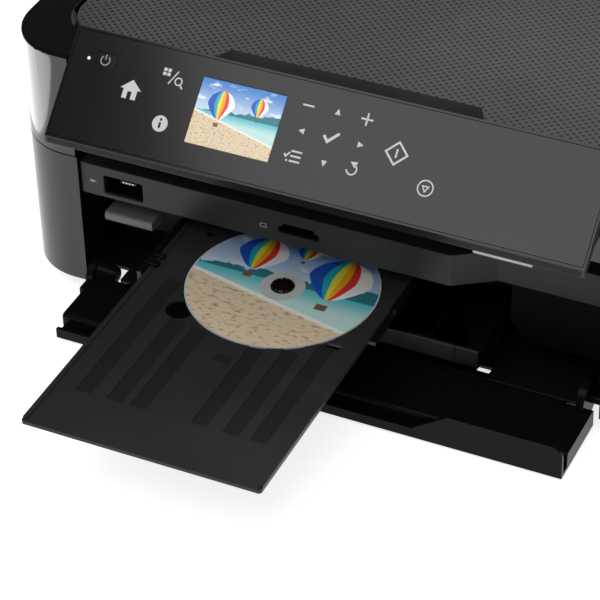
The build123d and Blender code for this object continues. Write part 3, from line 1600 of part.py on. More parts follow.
# ---------------------------------------------------------------- output stacker
with BuildPart() as stacker:
    slab(stacker_x, (stacker_front, stacker_rear), (stacker_low, stacker_high))
    slab(
        (stacker_x[0] + stacker_wall, stacker_x[1] - stacker_wall),
        (stacker_front + stacker_wall, stacker_rear - stacker_wall),
        (stacker_low + 2.5, stacker_high + 1),
        mode=Mode.SUBTRACT,
    )
    fillet(stacker.edges().filter_by(Axis.X).group_by(Axis.Y)[0], 1.0)
    slab(
        (81.6, 82.4),
        (stacker_front - 1, stacker_front + 0.8),
        (stacker_low - 1, stacker_high + 1),
        mode=Mode.SUBTRACT,
    )
    for x in (-60, -20, 20, 60):
        slab((x - 1, x + 1), (stacker_front + 8, stacker_rear - 8), (stacker_low + 2.4, stacker_low + 4.5))
stacker.part.label = "stacker"
export_step(stacker.part, "parts/stacker.step")
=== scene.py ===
"""Looks of the disc label printer: finishes for every part, and the detail that shows from a step away."""

import logging
import math
from dataclasses import dataclass, field
from enum import Enum
from functools import cache

import bmesh
import bpy
from mathutils import Matrix, Vector


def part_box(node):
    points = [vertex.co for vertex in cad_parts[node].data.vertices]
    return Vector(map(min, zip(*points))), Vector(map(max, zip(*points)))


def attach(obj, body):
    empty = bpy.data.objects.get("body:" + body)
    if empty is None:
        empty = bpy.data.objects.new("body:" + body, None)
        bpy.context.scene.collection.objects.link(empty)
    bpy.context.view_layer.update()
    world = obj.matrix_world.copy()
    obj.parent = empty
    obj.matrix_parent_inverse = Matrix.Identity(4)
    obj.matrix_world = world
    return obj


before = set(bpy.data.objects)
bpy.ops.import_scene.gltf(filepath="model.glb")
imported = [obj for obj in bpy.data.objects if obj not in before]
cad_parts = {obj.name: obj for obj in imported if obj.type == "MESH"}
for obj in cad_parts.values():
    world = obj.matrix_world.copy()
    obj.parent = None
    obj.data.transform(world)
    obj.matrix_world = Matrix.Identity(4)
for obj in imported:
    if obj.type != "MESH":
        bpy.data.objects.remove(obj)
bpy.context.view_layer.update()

logging.basicConfig(level=logging.INFO, format="%(message)s")
LOG = logging.getLogger("disc_label_printer")

Colour = tuple[float, float, float]
Point = tuple[float, float]
Sizes = tuple[float, ...]
Outline = list[Point]
Mesh = bmesh.types.BMesh
Material = bpy.types.Material
Tree = bpy.types.NodeTree
Node = bpy.types.Node
Socket = bpy.types.NodeSocket
MM = 0.001
WELD = 1e-5
SHARP_ANGLE = math.radians(35.0)

# Places that more than one class uses, in millimetres unless named otherwise
PANEL_TILT = math.radians(43.9)
PANEL_FACE = 10.7  # the face's height above the panel's pivot
DISPLAY_MIDDLE = (-56.4, -17.4)  # on the panel
DISC_MIDDLE = (-25.7, -113.9)
TRAY_ZERO = -97.5  # the casing's front, from which the tray is measured

# From the panel's own plane to the frame, in metres: X along the panel, Y up its slope, Z out of it
PANEL = Matrix.Translation((0.0, -0.0868, 0.1761)) @ Matrix.Rotation(PANEL_TILT, 4, "X")


# ---- shader groups
class Wiring:
    """Adds and links nodes of one tree."""

    def __init__(self, tree: Tree) -> None:
        """Keeps the tree that the nodes go into, and its surface shader."""
        self.tree = tree
        self.surface = tree.nodes.get("Principled BSDF")

    def node(self, kind: str, **settings: object) -> Node:
        """Adds one node.

        Args:
            kind: the node's type name.
            **settings: properties of the node.

        Returns:
            The new node.
        """
        made = self.tree.nodes.new(kind)
        for key, value in settings.items():
            setattr(made, key, value)
        return made

    def fill(self, target: Socket, value: object) -> None:
        """Links an output socket to the target, or sets the target's own value.

        Args:
            target: the input socket.
            value: an output socket, a number, or a triple, which can be a colour or a vector.
        """
        if isinstance(value, Socket):
            self.tree.links.new(value, target)
        elif isinstance(value, tuple) and target.type == "RGBA":
            target.default_value = (*value, 1.0)
        else:
            target.default_value = value

    def filled(self, made: Node, values: dict[int | str, object]) -> Node:
        """Fills a node's inputs.

        Args:
            made: the node.
            values: what each input takes, by its number or name.

        Returns:
            The same node.
        """
        for key, value in values.items():
            self.fill(made.inputs[key], value)
        return made

    def surfaced(self, values: dict[str, object]) -> None:
        """Fills the surface shader's inputs, by name."""
        self.filled(self.surface, values)

    def place(self) -> Socket:
        """The place on the piece, in its own metres."""
        return self.node("ShaderNodeTexCoord").outputs["Object"]

    def group(self, tree: Tree, values: dict[str, object]) -> Node:
        """Places a shader group with its own values."""
        return self.filled(self.node("ShaderNodeGroup", node_tree=tree), values)

    def maths(self, operation: str, *values: object) -> Socket:
        """The result of one Math node with the given values or sockets."""
        made = self.node("ShaderNodeMath", operation=operation)
        return self.filled(made, dict(enumerate(values))).outputs[0]

    def vector_maths(self, operation: str, *values: object) -> Socket:
        """The result of one Vector Math node, which is a number for a LENGTH."""
        made = self.node("ShaderNodeVectorMath", operation=operation)
        return self.filled(made, dict(enumerate(values))).outputs["Value" if operation == "LENGTH" else 0]

    def split(self, vector: Socket) -> bpy.types.NodeOutputs:
        """A vector's parts, named X, Y and Z."""
        return self.filled(self.node("ShaderNodeSeparateXYZ"), {0: vector}).outputs

    def ramp(self, value: Socket, low: float, high: float) -> Socket:
        """A smooth step from 0 where a value is low to 1 where it is high."""
        made = self.node("ShaderNodeMapRange", interpolation_type="SMOOTHSTEP")
        return self.filled(made, {"Value": value, "From Min": low, "From Max": high}).outputs["Result"]

    def mix(self, factor: Socket, under: object, over: object) -> Socket:
        """A mix of two colours, where a factor of 0 gives the one under."""
        made = self.node("ShaderNodeMix", data_type="RGBA")
        return self.filled(made, {0: factor, 6: under, 7: over}).outputs[2]

    def noise(self, vector: Socket, scale: object, detail: float) -> Socket:
        """A noise value at the given scale."""
        made = self.node("ShaderNodeTexNoise")
        return self.filled(made, {"Vector": vector, "Scale": scale, "Detail": detail}).outputs["Fac"]


def new_group(
    name: str, inputs: dict[str, float | Colour], outputs: dict[str, str],
) -> tuple[Tree, Wiring, bpy.types.NodeOutputs, bpy.types.NodeInputs]:
    """Starts a shader node group.

    Args:
        name: the group's name.
        inputs: each input's name and its default; a triple makes a colour, and a name that ends in
            Vector makes a vector.
        outputs: each output's name and the last part of its socket type.

    Returns:
        The node tree, its wiring, what its inputs give, and what its outputs take.
    """
    tree = bpy.data.node_groups.new(name, "ShaderNodeTree")
    for label, default in inputs.items():
        kind = "Vector" if label.endswith("Vector") else "Color" if isinstance(default, tuple) else "Float"
        socket = tree.interface.new_socket(label, in_out="INPUT", socket_type="NodeSocket" + kind)
        if kind != "Vector":
            socket.default_value = (*default, 1.0) if kind == "Color" else default
    for label, kind in outputs.items():
        tree.interface.new_socket(label, in_out="OUTPUT", socket_type="NodeSocket" + kind)
    given = tree.nodes.new("NodeGroupInput").outputs
    return tree, Wiring(tree), given, tree.nodes.new("NodeGroupOutput").inputs


def new_material(name: str) -> tuple[Material, Wiring]:
    """Starts a material.

    Args:
        name: the material's name.

    Returns:
        The material and its wiring.
    """
    material = bpy.data.materials.new(name)
    material.use_nodes = True
    return material, Wiring(material.node_tree)


def grain_group() -> Tree:
    """Fine moulded grain.

    Returns:
        A group that gives a height, and a roughness that wanders with soft smudges.
    """
    tree, wires, given, taken = new_group(
        "MouldedGrain",
        {"Grains Per Metre": 1500.0, "Roughness": 0.4, "Spread": 0.06},
        {"Roughness": "Float", "Height": "Float"},
    )
    place = wires.place()
    broad = wires.maths("SUBTRACT", wires.noise(place, 22.0, 4.0), 0.5)
    wander = wires.maths("MULTIPLY", broad, given["Spread"])
    wires.fill(taken["Roughness"], wires.maths("ADD", given["Roughness"], wander))
    wires.fill(taken["Height"], wires.noise(place, given["Grains Per Metre"], 2.0))
    return tree


def smudge_group() -> Tree:
    """Slight unevenness of a colour.

    Returns:
        A group that gives a colour, which dust and handling change in soft patches.
    """
    tree, wires, given, taken = new_group(
        "Smudge",
        {"Clean": (0.02, 0.02, 0.02), "Marked": (0.03, 0.03, 0.03), "Patches Per Metre": 14.0},
        {"Color": "Color"},
    )
    patches = wires.noise(wires.place(), given["Patches Per Metre"], 5.0)
    wires.fill(taken["Color"], wires.mix(wires.ramp(patches, 0.35, 0.75), given["Clean"], given["Marked"]))
    return tree


def dots_group() -> Tree:
    """Staggered dots on the X-Y plane.

    Returns:
        A group that gives 1 inside a dot and 0 between the dots.
    """
    tree, wires, given, taken = new_group(
        "StaggeredDots", {"Cells Per Metre Vector": 0.0, "Radius": 0.2}, {"Mask": "Float"},
    )
    cells = wires.vector_maths("MULTIPLY", wires.place(), given["Cells Per Metre Vector"])
    distances = []
    for shift in (0.0, 0.5):
        cell = wires.vector_maths("FRACTION", wires.vector_maths("ADD", cells, (shift, shift, 0.0)))
        centred = wires.vector_maths("SUBTRACT", cell, (0.5, 0.5, 0.0))
        distances.append(wires.vector_maths("LENGTH", centred))
    inside = wires.maths("SUBTRACT", given["Radius"], wires.maths("MINIMUM", *distances))
    wires.fill(taken["Mask"], wires.ramp(inside, -0.06, 0.06))
    return tree


GRAIN = grain_group()
SMUDGE = smudge_group()
DOTS = dots_group()


# ---- finishes
@dataclass(frozen=True)
class Finish:
    """A surface with a grain, smudges and a plain base colour."""

    name: str
    colour: Colour
    roughness: float
    grain_depth: float = 1e-5
    spread: float = 0.08
    marked: float = 1.25
    metallic: float = 0.0
    specular: float = 0.5
    glow: float = 0.0

    def clouded(self, wires: Wiring) -> Socket:
        """The base colour with its smudges."""
        marked = tuple(min(1.0, part * self.marked) for part in self.colour)
        return wires.group(SMUDGE, {"Clean": self.colour, "Marked": marked}).outputs["Color"]

    def paint(self, wires: Wiring) -> Socket | None:
        """Gives the shader its colour, and its glow where it has one.

        Args:
            wires: the material's wiring.

        Returns:
            A height to add to the grain's, or None.
        """
        wires.surfaced({"Base Color": self.clouded(wires)})
        if self.glow:
            wires.surfaced({"Emission Color": self.colour, "Emission Strength": self.glow})
        return None

    def build(self) -> Material:
        """Makes the material.

        Returns:
            The material, with its colour, roughness and bump.
        """
        material, wires = new_material(self.name)
        relief = self.paint(wires)
        grain = wires.group(GRAIN, {"Roughness": self.roughness, "Spread": self.spread}).outputs
        height = grain["Height"] if relief is None else wires.maths("ADD", grain["Height"], relief)
        bump = wires.filled(wires.node("ShaderNodeBump"), {"Distance": self.grain_depth, "Height": height})
        wires.surfaced({
            "Metallic": self.metallic,
            "Specular IOR Level": self.specular,
            "Roughness": grain["Roughness"],
            "Normal": bump.outputs["Normal"],
        })
        return material


@dataclass(frozen=True)
class DimpledFinish(Finish):
    """The document lid's moulding, with staggered dimples in its top."""

    pitch: Point = (0.0058, 0.0050)
    dot_radius: float = 0.17
    dot_colour: Colour = (0.008, 0.008, 0.0085)
    dot_depth: float = 6.0

    def paint(self, wires: Wiring) -> Socket:
        """Darkens and sinks the dots on faces that look up.

        Args:
            wires: the material's wiring.

        Returns:
            The dots' height.
        """
        cells = (1 / self.pitch[0], 1 / self.pitch[1], 0.0)
        dots = wires.group(DOTS, {"Cells Per Metre Vector": cells, "Radius": self.dot_radius})
        upright = wires.split(wires.node("ShaderNodeNewGeometry").outputs["Normal"])["Z"]
        mask = wires.maths("MULTIPLY", dots.outputs["Mask"], wires.ramp(upright, 0.95, 0.99))
        wires.surfaced({"Base Color": wires.mix(mask, self.clouded(wires), self.dot_colour)})
        return wires.maths("MULTIPLY", mask, -self.dot_depth)


@dataclass(frozen=True)
class BoardFinish(Finish):
    """A green board whose socket at the back is plain metal."""

    socket_start: float = 0.268
    socket_colour: Colour = (0.10, 0.10, 0.105)

    def paint(self, wires: Wiring) -> None:
        """Colours the board and its socket."""
        at_back = wires.maths("GREATER_THAN", wires.split(wires.place())["Y"], self.socket_start)
        wires.surfaced({"Base Color": wires.mix(at_back, self.clouded(wires), self.socket_colour)})


@dataclass(frozen=True)
class GlassFinish(Finish):
    """Clear glass over what lies under it."""

    def paint(self, wires: Wiring) -> None:
        """Makes the shader clear."""
        wires.surfaced({"Base Color": self.colour, "Transmission Weight": 1.0})


@dataclass(frozen=True)
class LandscapeFinish(Finish):
    """A printed or lit landscape: sky and clouds, hills, a lake, dunes and striped balloons.

    The picture's own plane is found by moving centre to the origin and turning by tilt about X; its
    half_height is the distance from its middle to its upper edge. Each balloon has a middle and a radius.
    """

    centre: Sizes = (0.0, 0.0, 0.0)
    tilt: float = 0.0
    half_height: float = 0.06
    balloons: tuple[Sizes, ...] = ()

    SKY_LOW = (0.62, 0.78, 0.92)
    SKY_HIGH = (0.05, 0.23, 0.62)
    CLOUD = (0.95, 0.97, 1.0)
    HILL = (0.03, 0.20, 0.24)
    LAKE = (0.10, 0.55, 0.62)
    SHALLOWS = (0.55, 0.80, 0.76)
    FOAM = (0.93, 0.92, 0.86)
    SAND = (0.78, 0.64, 0.44)
    SAND_DARK = (0.35, 0.25, 0.14)
    BASKET = (0.20, 0.11, 0.05)
    STRIPES = (
        (0.02, 0.10, 0.55), (0.02, 0.45, 0.55), (0.85, 0.80, 0.05),
        (0.95, 0.42, 0.02), (0.80, 0.05, 0.04), (0.92, 0.92, 0.90),
    )

    def picture(self, wires: Wiring) -> Socket:
        """Paints the landscape from the sky down.

        Args:
            wires: the material's wiring.

        Returns:
            The colour at each place of the picture's plane, in units of half_height.
        """
        maths, ramp, mix = wires.maths, wires.ramp, wires.mix
        offset = wires.vector_maths("SUBTRACT", wires.place(), self.centre)
        turn = wires.node("ShaderNodeVectorRotate", rotation_type="X_AXIS")
        level = wires.filled(turn, {"Vector": offset, "Angle": -self.tilt}).outputs[0]
        scale = 1.0 / self.half_height
        place = wires.vector_maths("MULTIPLY", level, (scale, scale, 0.0))
        parts = wires.split(place)
        across, up = parts["X"], parts["Y"]
        stretched = wires.vector_maths("MULTIPLY", place, (0.8, 1.9, 1.0))

        clouds = maths("MULTIPLY", ramp(wires.noise(stretched, 2.3, 5.0), 0.54, 0.70), ramp(up, 0.0, 0.3))
        waver = maths("MULTIPLY", wires.noise(place, 3.1, 4.0), 0.42)
        ridge = maths("ADD", maths("MULTIPLY", across, 0.10), waver)
        below_ridge = maths("SUBTRACT", maths("ADD", ridge, -0.04), up)
        shore = maths("SUBTRACT", 0.06, up)
        water = mix(ramp(up, -0.25, 0.06), self.SHALLOWS, self.LAKE)
        bank = maths("SUBTRACT", maths("MULTIPLY", across, -0.22), maths("ADD", up, 0.24))
        sand = mix(ramp(wires.noise(stretched, 14.0, 4.0), 0.50, 0.72), self.SAND, self.SAND_DARK)
        beach = mix(ramp(bank, 0.03, 0.08), self.FOAM, sand)
        colour = mix(ramp(up, -0.1, 1.0), self.SKY_LOW, self.SKY_HIGH)
        for share, over in (
            (clouds, self.CLOUD),
            (ramp(below_ridge, 0.0, 0.015), self.HILL),
            (ramp(shore, 0.0, 0.012), water),
            (ramp(bank, 0.0, 0.01), beach),
        ):
            colour = mix(share, colour, over)
        for x, y, size in self.balloons:
            x_part = maths("DIVIDE", maths("SUBTRACT", across, x), size)
            y_part = maths("DIVIDE", maths("SUBTRACT", up, y), size)
            colour = self.balloon(wires, colour, x_part, y_part)
        return colour

    def balloon(self, wires: Wiring, under: Socket, x: Socket, y: Socket) -> Socket:
        """Paints one striped balloon with its basket over a colour.

        Args:
            wires: the material's wiring.
            under: the colour that shows around the balloon.
            x: the place across it, in radii from its middle.
            y: the place up it, in radii from its middle.

        Returns:
            The colour with the balloon on it.
        """
        maths, ramp = wires.maths, wires.ramp
        taper = maths("ADD", 1.0, maths("MULTIPLY", maths("MINIMUM", y, 0.0), 0.45))
        width = maths("DIVIDE", x, taper)
        height_squared = maths("MULTIPLY", y, y)
        inside = ramp(maths("ADD", maths("MULTIPLY", width, width), height_squared), 1.02, 0.96)
        bulge = maths("DIVIDE", width, maths("SQRT", maths("SUBTRACT", 1.12, height_squared)))
        stripes = wires.node("ShaderNodeValToRGB")
        stripes.color_ramp.interpolation = "CONSTANT"
        wires.fill(stripes.inputs["Fac"], ramp(bulge, -1.0, 1.0))
        points = stripes.color_ramp.elements
        while len(points) < len(self.STRIPES):
            points.new(0.5)
        for index, stripe in enumerate(self.STRIPES):
            points[index].position = index / len(self.STRIPES)
            points[index].color = (*stripe, 1.0)
        colour = wires.mix(inside, under, stripes.outputs["Color"])
        low = maths("ABSOLUTE", maths("ADD", y, 1.38))
        basket = maths("MULTIPLY", ramp(low, 0.16, 0.12), ramp(maths("ABSOLUTE", x), 0.20, 0.16))
        return wires.mix(basket, colour, self.BASKET)

    def paint(self, wires: Wiring) -> None:
        """Gives the shader the picture, and its glow where it is lit.

        Args:
            wires: the material's wiring.
        """
        colour = self.picture(wires)
        wires.surfaced({"Base Color": colour})
        if self.glow:
            wires.surfaced({"Emission Color": colour, "Emission Strength": self.glow})


def grey(level: float, blue: float | None = None) -> Colour:
    """A grey, with its own blue part where it is a little cooler or warmer."""
    return (level, level, level if blue is None else blue)


class Kind(Enum):
    """The finishes of the printer's parts."""

    GLOSS_BLACK = Finish("gloss_black", grey(0.003, 0.0033), 0.10, 1e-6, 0.03, specular=0.75)
    SIDE_GLOSS = Finish("side_gloss", grey(0.004, 0.0045), 0.10, 1e-6, 0.03, specular=0.6)
    PANEL_GLOSS = Finish("panel_gloss", grey(0.011, 0.0115), 0.15, 1e-6, 0.04)
    MATTE_BLACK = Finish("matte_black", grey(0.020, 0.021), 0.42, 2e-5)
    LID = DimpledFinish("dimpled_lid", grey(0.078, 0.079), 0.42, 2e-5)
    BEZEL = Finish("bezel_grey", grey(0.026, 0.0265), 0.36, 1.2e-5, specular=0.3)
    INNER_BLACK = Finish("inner_black", grey(0.004, 0.0042), 0.40, 2e-5)
    COVER_BLACK = Finish("cover_black", grey(0.005, 0.0052), 0.30, 1.5e-5, specular=0.10)
    TRAY_BLACK = Finish("tray_black", grey(0.026, 0.0265), 0.34, 2e-5, specular=0.25)
    TRAY_GROOVE = Finish("tray_groove", grey(0.018, 0.0184), 0.42, 2e-5, specular=0.2)
    # a darker, duller black: painted shade on the right inner wall and in the finger notch, and the panel's
    # own dark seam line
    SHADE = Finish("shade_and_seam_black", grey(0.0015), 0.6, specular=0.1)
    RIM = Finish("panel_rim", grey(0.010, 0.0104), 0.25, 4e-6, specular=0.2)
    # a pale grey that paints the highlight on the release lever's lower edge
    LEVER_HIGHLIGHT = Finish("release_edge_highlight", grey(0.50, 0.51), 0.30)
    CYAN = Finish("label_cyan", (0.01, 0.36, 0.62), 0.4, 5e-6)
    MAGENTA = Finish("label_magenta", (0.58, 0.02, 0.24), 0.4, 5e-6)
    YELLOW = Finish("label_yellow", (0.85, 0.68, 0.03), 0.4, 5e-6)
    LIGHT_CYAN = Finish("label_light_cyan", (0.32, 0.66, 0.82), 0.4, 5e-6)
    LIGHT_MAGENTA = Finish("label_light_magenta", (0.80, 0.38, 0.54), 0.4, 5e-6)
    LEVER_GREY = Finish("lever_grey", grey(0.16, 0.165), 0.35)
    BASE = Finish("dark_base", grey(0.005, 0.0052), 0.5, 3e-5)
    RUBBER = Finish("soft_rubber", grey(0.012), 0.8, 4e-5)
    ROLLER = Finish("roller_coating", grey(0.08), 0.7, 6e-5)
    STEEL = Finish("ground_steel", grey(0.60, 0.61), 0.25, marked=0.85, metallic=1.0)
    SHEET = Finish("zinc_sheet", grey(0.50, 0.52), 0.38, marked=0.8, metallic=1.0)
    BRASS = Finish("turned_brass", (0.72, 0.55, 0.26), 0.3, marked=0.85, metallic=1.0)
    ACETAL = Finish("natural_acetal", grey(0.72, 0.69), 0.4)
    PAD = Finish("document_pad", grey(0.75, 0.73), 0.7, 5e-5, marked=1.04)
    FELT = Finish("absorbent_felt", grey(0.45, 0.44), 0.9, 2e-4)
    BOARD = BoardFinish("circuit_board", (0.015, 0.13, 0.06), 0.4, marked=0.7)
    INK = Finish("white_print", grey(0.82), 0.5, marked=0.97)
    DIM_INK = Finish("grey_print", grey(0.45), 0.5, marked=0.95)
    CONTACT = Finish("gold_contact", (0.65, 0.60, 0.45), 0.3, marked=0.9, metallic=1.0)
    CLEAR = Finish("clear_disc_rim", (0.52, 0.53, 0.54), 0.12, 1e-6)
    GLASS = GlassFinish("bed_glass", (0.95, 0.98, 0.97), 0.03, 1e-7)
    LAMP = Finish("green_lamp", (0.75, 0.95, 0.55), 0.3, glow=0.6)
    DISC_PRINT = LandscapeFinish(
        "disc_print", grey(0.5), 0.32, 2e-6,
        centre=tuple(Vector((*DISC_MIDDLE, 0.0)) * MM),
        half_height=0.06,
        balloons=((-0.42, 0.42, 0.27), (0.50, 0.30, 0.34), (0.02, 0.62, 0.13)),
    )
    SCREEN = LandscapeFinish(
        "display_picture", grey(0.5), 0.12, 5e-7,
        centre=tuple(PANEL @ (Vector((*DISPLAY_MIDDLE, 0.0)) * MM)),
        tilt=PANEL_TILT,
        half_height=0.0207,
        balloons=((-0.55, 0.28, 0.42), (0.62, 0.45, 0.27)),
        glow=0.28,
    )


@cache
def material_of(kind: Kind) -> Material:
    """The material of a finish, built when it is first asked for."""
    return kind.value.build()


# ---- mesh helpers, in millimetres
def data_of(name: str, mesh: Mesh) -> bpy.types.Mesh:
    """Turns a bmesh into mesh data.

    Args:
        name: the data's name.
        mesh: the bmesh; it is freed.

    Returns:
        The mesh data.
    """
    data = bpy.data.meshes.new(name)
    mesh.to_mesh(data)
    mesh.free()
    return data


def in_scene(name: str, data: bpy.types.ID) -> bpy.types.Object:
    """Puts an object with its data into the scene.

    Args:
        name: the object's name.
        data: its mesh, lamp or camera.

    Returns:
        The object.
    """
    made = bpy.data.objects.new(name, data)
    bpy.context.scene.collection.objects.link(made)
    return made


def make_piece(name: str, mesh: Mesh, kind: Kind, body: str) -> bpy.types.Object:
    """Turns a finished bmesh into a piece that rides on a body.

    Args:
        name: the piece's name.
        mesh: the bmesh in its place in the frame; it is freed.
        kind: the finish.
        body: the body it rides on.

    Returns:
        The piece.
    """
    bmesh.ops.remove_doubles(mesh, verts=mesh.verts, dist=WELD / 10)
    bmesh.ops.recalc_face_normals(mesh, faces=mesh.faces)
    data = data_of(name, mesh)
    data.materials.append(material_of(kind))
    piece = in_scene(name, data)
    smooth_by_angle(piece)
    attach(piece, body)
    LOG.info("piece %s: %d faces on %s", name, len(data.polygons), body)
    return piece


def smooth_by_angle(piece: bpy.types.Object) -> None:
    """Shades a mesh smooth and keeps its sharp edges."""
    piece.data.polygons.foreach_set("use_smooth", [True] * len(piece.data.polygons))
    piece.data.set_sharp_from_angle(angle=SHARP_ANGLE)


def rounded_edges(piece: bpy.types.Object, width: float) -> None:
    """Rounds the sharp edges of a piece with a live modifier.

    Args:
        piece: the object.
        width: the rounding's width.
    """
    bevel = piece.modifiers.new("rounding", "BEVEL")
    bevel.width = width * MM
    bevel.segments = 2
    bevel.limit_method = "ANGLE"
    bevel.angle_limit = math.radians(32.0)
    bevel.miter_outer = "MITER_ARC"
    weighted = piece.modifiers.new("flat_shading", "WEIGHTED_NORMAL")
    weighted.keep_sharp = True
    weighted.weight = 100


def plate(points: Outline, thickness: float, *holes: Outline) -> Mesh:
    """A level plate that stands on z = 0.

    Args:
        points: its outline.
        thickness: how far it rises.
        *holes: outlines of its holes.

    Returns:
        The plate.
    """
    mesh = bmesh.new()
    edges = []
    for ring in (points, *holes):
        verts = [mesh.verts.new((x * MM, y * MM, 0.0)) for x, y in ring]
        edges += [mesh.edges.new((verts[i - 1], verts[i])) for i in range(len(verts))]
    bmesh.ops.triangle_fill(mesh, edges=edges, use_beauty=True, use_dissolve=False)
    raised = bmesh.ops.extrude_face_region(mesh, geom=mesh.faces[:])
    top = [item for item in raised["geom"] if isinstance(item, bmesh.types.BMVert)]
    bmesh.ops.translate(mesh, verts=top, vec=(0.0, 0.0, thickness * MM))
    return mesh


def moved(mesh: Mesh, x: float, y: float, z: float = 0.0, turn: Matrix = Matrix()) -> Mesh:
    """Turns a mesh where a turn is given, moves it to its place, and returns it."""
    bmesh.ops.transform(mesh, matrix=Matrix.Translation((x * MM, y * MM, z * MM)) @ turn, verts=mesh.verts)
    return mesh


def on_panel(mesh: Mesh, middle: Point, height: float = PANEL_FACE) -> Mesh:
    """Lays a flat mesh on the tilted panel at a place and height above its pivot, and returns it."""
    bmesh.ops.transform(mesh, matrix=PANEL, verts=moved(mesh, *middle, height).verts)
    return mesh


def stood_up(mesh: Mesh, x: float, y: float, z: float) -> Mesh:
    """Stands a flat mesh upright with its face to the front, and returns it."""
    return moved(mesh, x, y, z, Matrix.Rotation(math.pi / 2, 4, "X"))


def joined(meshes: list[Mesh]) -> Mesh:
    """Makes one bmesh of several.

    Args:
        meshes: the bmeshes; they are freed.

    Returns:
        The whole.
    """
    whole = bmesh.new()
    for mesh in meshes:
        part = data_of("part", mesh)
        whole.from_mesh(part)
        bpy.data.meshes.remove(part)
    return whole


def turned(profile: Outline, place: Vector) -> Mesh:
    """A round form about an upright axis.

    Args:
        profile: (radius, height) points from the bottom to the top, both ends on the axis.
        place: where the axis meets height 0.

    Returns:
        The closed form.
    """
    mesh = bmesh.new()
    verts = [mesh.verts.new((place + Vector((radius, 0.0, height))) * MM) for radius, height in profile]
    edges = [mesh.edges.new(pair) for pair in zip(verts, verts[1:])]
    bmesh.ops.spin(
        mesh, geom=verts + edges, cent=place * MM, axis=(0.0, 0.0, 1.0), angle=2 * math.pi, steps=32,
        use_merge=True,
    )
    return mesh


def arc(radius: float, start: float, end: float, steps: int, middle: Point = (0.0, 0.0)) -> Outline:
    """Points along an arc from a start to an end in degrees, with both."""
    angles = [math.radians(start + (end - start) * i / steps) for i in range(steps + 1)]
    return [(middle[0] + radius * math.cos(a), middle[1] + radius * math.sin(a)) for a in angles]


def circle(radius: float, middle: Point = (0.0, 0.0), steps: int = 48, start: float = 0.0) -> Outline:
    """Points of a circle, anticlockwise from a start in degrees."""
    return arc(radius, start, start + 360.0, steps, middle)[:-1]


def arc_band(radius: float, width: float, start: float, end: float, steps: int = 28) -> Outline:
    """Outline of a band along an arc, whose radius is that of its middle line, in degrees."""
    return arc(radius + width / 2, start, end, steps) + arc(radius - width / 2, end, start, steps)


def bar(start: Point, end: Point, width: float) -> Outline:
    """Outline of a straight bar.

    Args:
        start: the middle of one end.
        end: the middle of the other end.
        width: the bar's width.

    Returns:
        The outline.
    """
    first, last = Vector(start), Vector(end)
    side = (last - first).normalized().orthogonal() * width / 2
    return [tuple(first + side), tuple(first - side), tuple(last - side), tuple(last + side)]


def rounded_rectangle(half_x: float, half_y: float, radius: float, steps: int = 6) -> Outline:
    """Outline of a rectangle with rounded corners about the origin.

    Args:
        half_x: half its length along X.
        half_y: half its length along Y.
        radius: the corners' radius.
        steps: how many steps each corner has.

    Returns:
        The outline.
    """
    points = []
    for quarter, (sign_x, sign_y) in enumerate(((1, 1), (-1, 1), (-1, -1), (1, -1))):
        middle = (sign_x * (half_x - radius), sign_y * (half_y - radius))
        points += arc(radius, 90 * quarter, 90 * (quarter + 1), steps, middle)
    return points


def pad(size: Sizes, thickness: float) -> Mesh:
    """A level plate with rounded corners, from its half length, its half width and their radius."""
    return plate(rounded_rectangle(*size), thickness)


